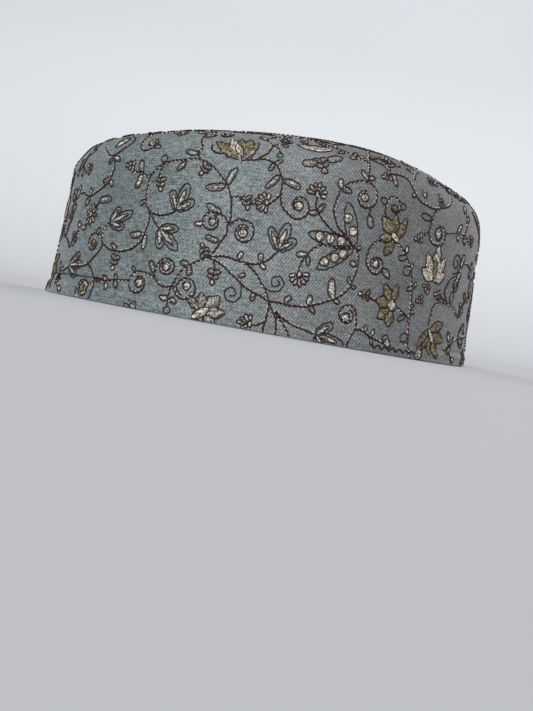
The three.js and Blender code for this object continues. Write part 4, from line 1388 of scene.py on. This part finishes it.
studio = {                          # in metres
    "paper": "#D5D6DA",
    "paperShade": 0.97,             # slow clouds in the paper, this much darker
    "middle": 0.4,
    "flatRadius": 2.0,
    "bendRadius": 1.0,
    "top": 3.2,
    "steps": 96,
    "bendSteps": 12,
}


def backdrop(sweep):
    flat, bend = sweep["flatRadius"], sweep["bendRadius"]
    profile = [(sweep["middle"], 0)]
    for turn in np.linspace(0, math.pi / 2, sweep["bendSteps"] + 1):
        profile.append((flat + bend * math.sin(turn), bend * (1 - math.cos(turn))))
    profile.append((flat + bend, sweep["top"]))
    angles = np.arange(sweep["steps"]) / sweep["steps"] * 2 * math.pi
    points = [(r * math.cos(a), r * math.sin(a), z) for r, z in profile for a in angles]
    count = sweep["steps"]
    faces = [tuple(range(count))]
    for row in range(len(profile) - 1):
        faces += [(row * count + k, (row + 1) * count + k, (row + 1) * count + (k + 1) % count,
                   row * count + (k + 1) % count) for k in range(count)]
    mesh = bpy.data.meshes.new("paper_sweep")
    mesh.from_pydata(points, [], faces)
    mesh.shade_smooth()
    material, tree = newMaterial("matt background paper")
    grain = addNode(tree, "ShaderNodeTexNoise", {"Scale": 3.0, "Detail": 2.0})
    tone = linearColour(sweep["paper"])
    shade = addNode(tree, "ShaderNodeMix",
                    {mixFirst: [part * sweep["paperShade"] for part in tone[:3]] + [1], mixSecond: tone},
                    {"Factor": grain.outputs["Fac"]}, data_type="RGBA")
    shader = addNode(tree, "ShaderNodeBsdfPrincipled", {"Roughness": 0.95, "Specular IOR Level": 0.1},
                     {"Base Color": shade.outputs[mixResult]})
    addNode(tree, "ShaderNodeOutputMaterial", links={"Surface": shader.outputs["BSDF"]})
    mesh.materials.append(material)
    sheet = bpy.data.objects.new("paper_sweep", mesh)
    sheet.visible_shadow = False
    sheet.visible_diffuse = False   # the world's light stands for what the paper throws back
    bpy.context.scene.collection.objects.link(sheet)


backdrop(studio)


# Lights, all broad and soft: a window in front, a little to the left, and two weak ones behind

lights = {
    "front": {"from": (-0.15, -0.93, 0.46), "softness": 28, "strength": 3.35, "colour": "#F6FBFB"},
    "behindLeft": {"from": (-0.75, 0.65, 0.25), "softness": 50, "strength": 0.7, "colour": "#F4FAFF"},
    "behindRight": {"from": (0.75, 0.65, 0.25), "softness": 50, "strength": 1.3, "colour": "#FFF2F3"},
}
worldLight = {"colour": "#EBE8EA", "strength": 0.25}


# Puts a lamp or camera at a place in metres, with the directions of its own three axes
def placeObject(name, data, right, up, backward, position):
    holder = bpy.data.objects.new(name, data)
    rows = [[right[i], up[i], backward[i], position[i]] for i in range(3)]
    holder.matrix_world = Matrix(rows + [[0, 0, 0, 1]])
    bpy.context.scene.collection.objects.link(holder)
    return holder


for name, light in lights.items():
    lamp = bpy.data.lights.new(name, "SUN")
    lamp.angle = math.radians(light["softness"])
    lamp.energy = light["strength"]
    lamp.color = linearColour(light["colour"])[:3]
    backward = np.array(light["from"]) / np.linalg.norm(light["from"])
    side = np.cross((0, 0, 1), backward)
    side /= np.linalg.norm(side)
    placeObject(name, lamp, side, np.cross(backward, side), backward, backward)

world = bpy.data.worlds.new("studio")
bpy.context.scene.world = world
world.use_nodes = True
world.node_tree.nodes["Background"].inputs["Color"].default_value = linearColour(worldLight["colour"])
world.node_tree.nodes["Background"].inputs["Strength"].default_value = worldLight["strength"]
bpy.context.scene.view_settings.view_transform = "Standard"


# Camera, level with the rim and rolled a little, as the cap was photographed

photoCamera = {
    "distance": 450.0,
    "elevation": math.radians(0.7), # just high enough to stay above the floor
    "pan": 0.016,                   # radians, as are tilt and roll
    "tilt": -0.025,
    "roll": 0.181,
    "focalPixels": 972.4,
    "imageHeight": 711,
    "sensor": 36.0,
    "nearest": 0.01,                # metres
}


def addCamera(view):
    position = np.array([0, -math.cos(view["elevation"]), math.sin(view["elevation"])]) * view["distance"]
    forward = -position / view["distance"]
    right = np.array([1.0, 0, 0])
    up = np.cross(right, forward)
    forward = forward + math.tan(view["pan"]) * right + math.tan(view["tilt"]) * up
    forward /= np.linalg.norm(forward)
    right = np.cross(forward, up)
    right /= np.linalg.norm(right)
    up = np.cross(right, forward)
    rolledRight = math.cos(view["roll"]) * right + math.sin(view["roll"]) * up
    rolledUp = math.cos(view["roll"]) * up - math.sin(view["roll"]) * right
    camera = bpy.data.cameras.new("camera")
    camera.sensor_width = view["sensor"]
    camera.lens = view["focalPixels"] / view["imageHeight"] * view["sensor"]
    camera.clip_start = view["nearest"]
    bpy.context.scene.camera = placeObject("camera", camera, rolledRight, rolledUp, -forward,
                                           position * mm)


addCamera(photoCamera)
print("studio ready")
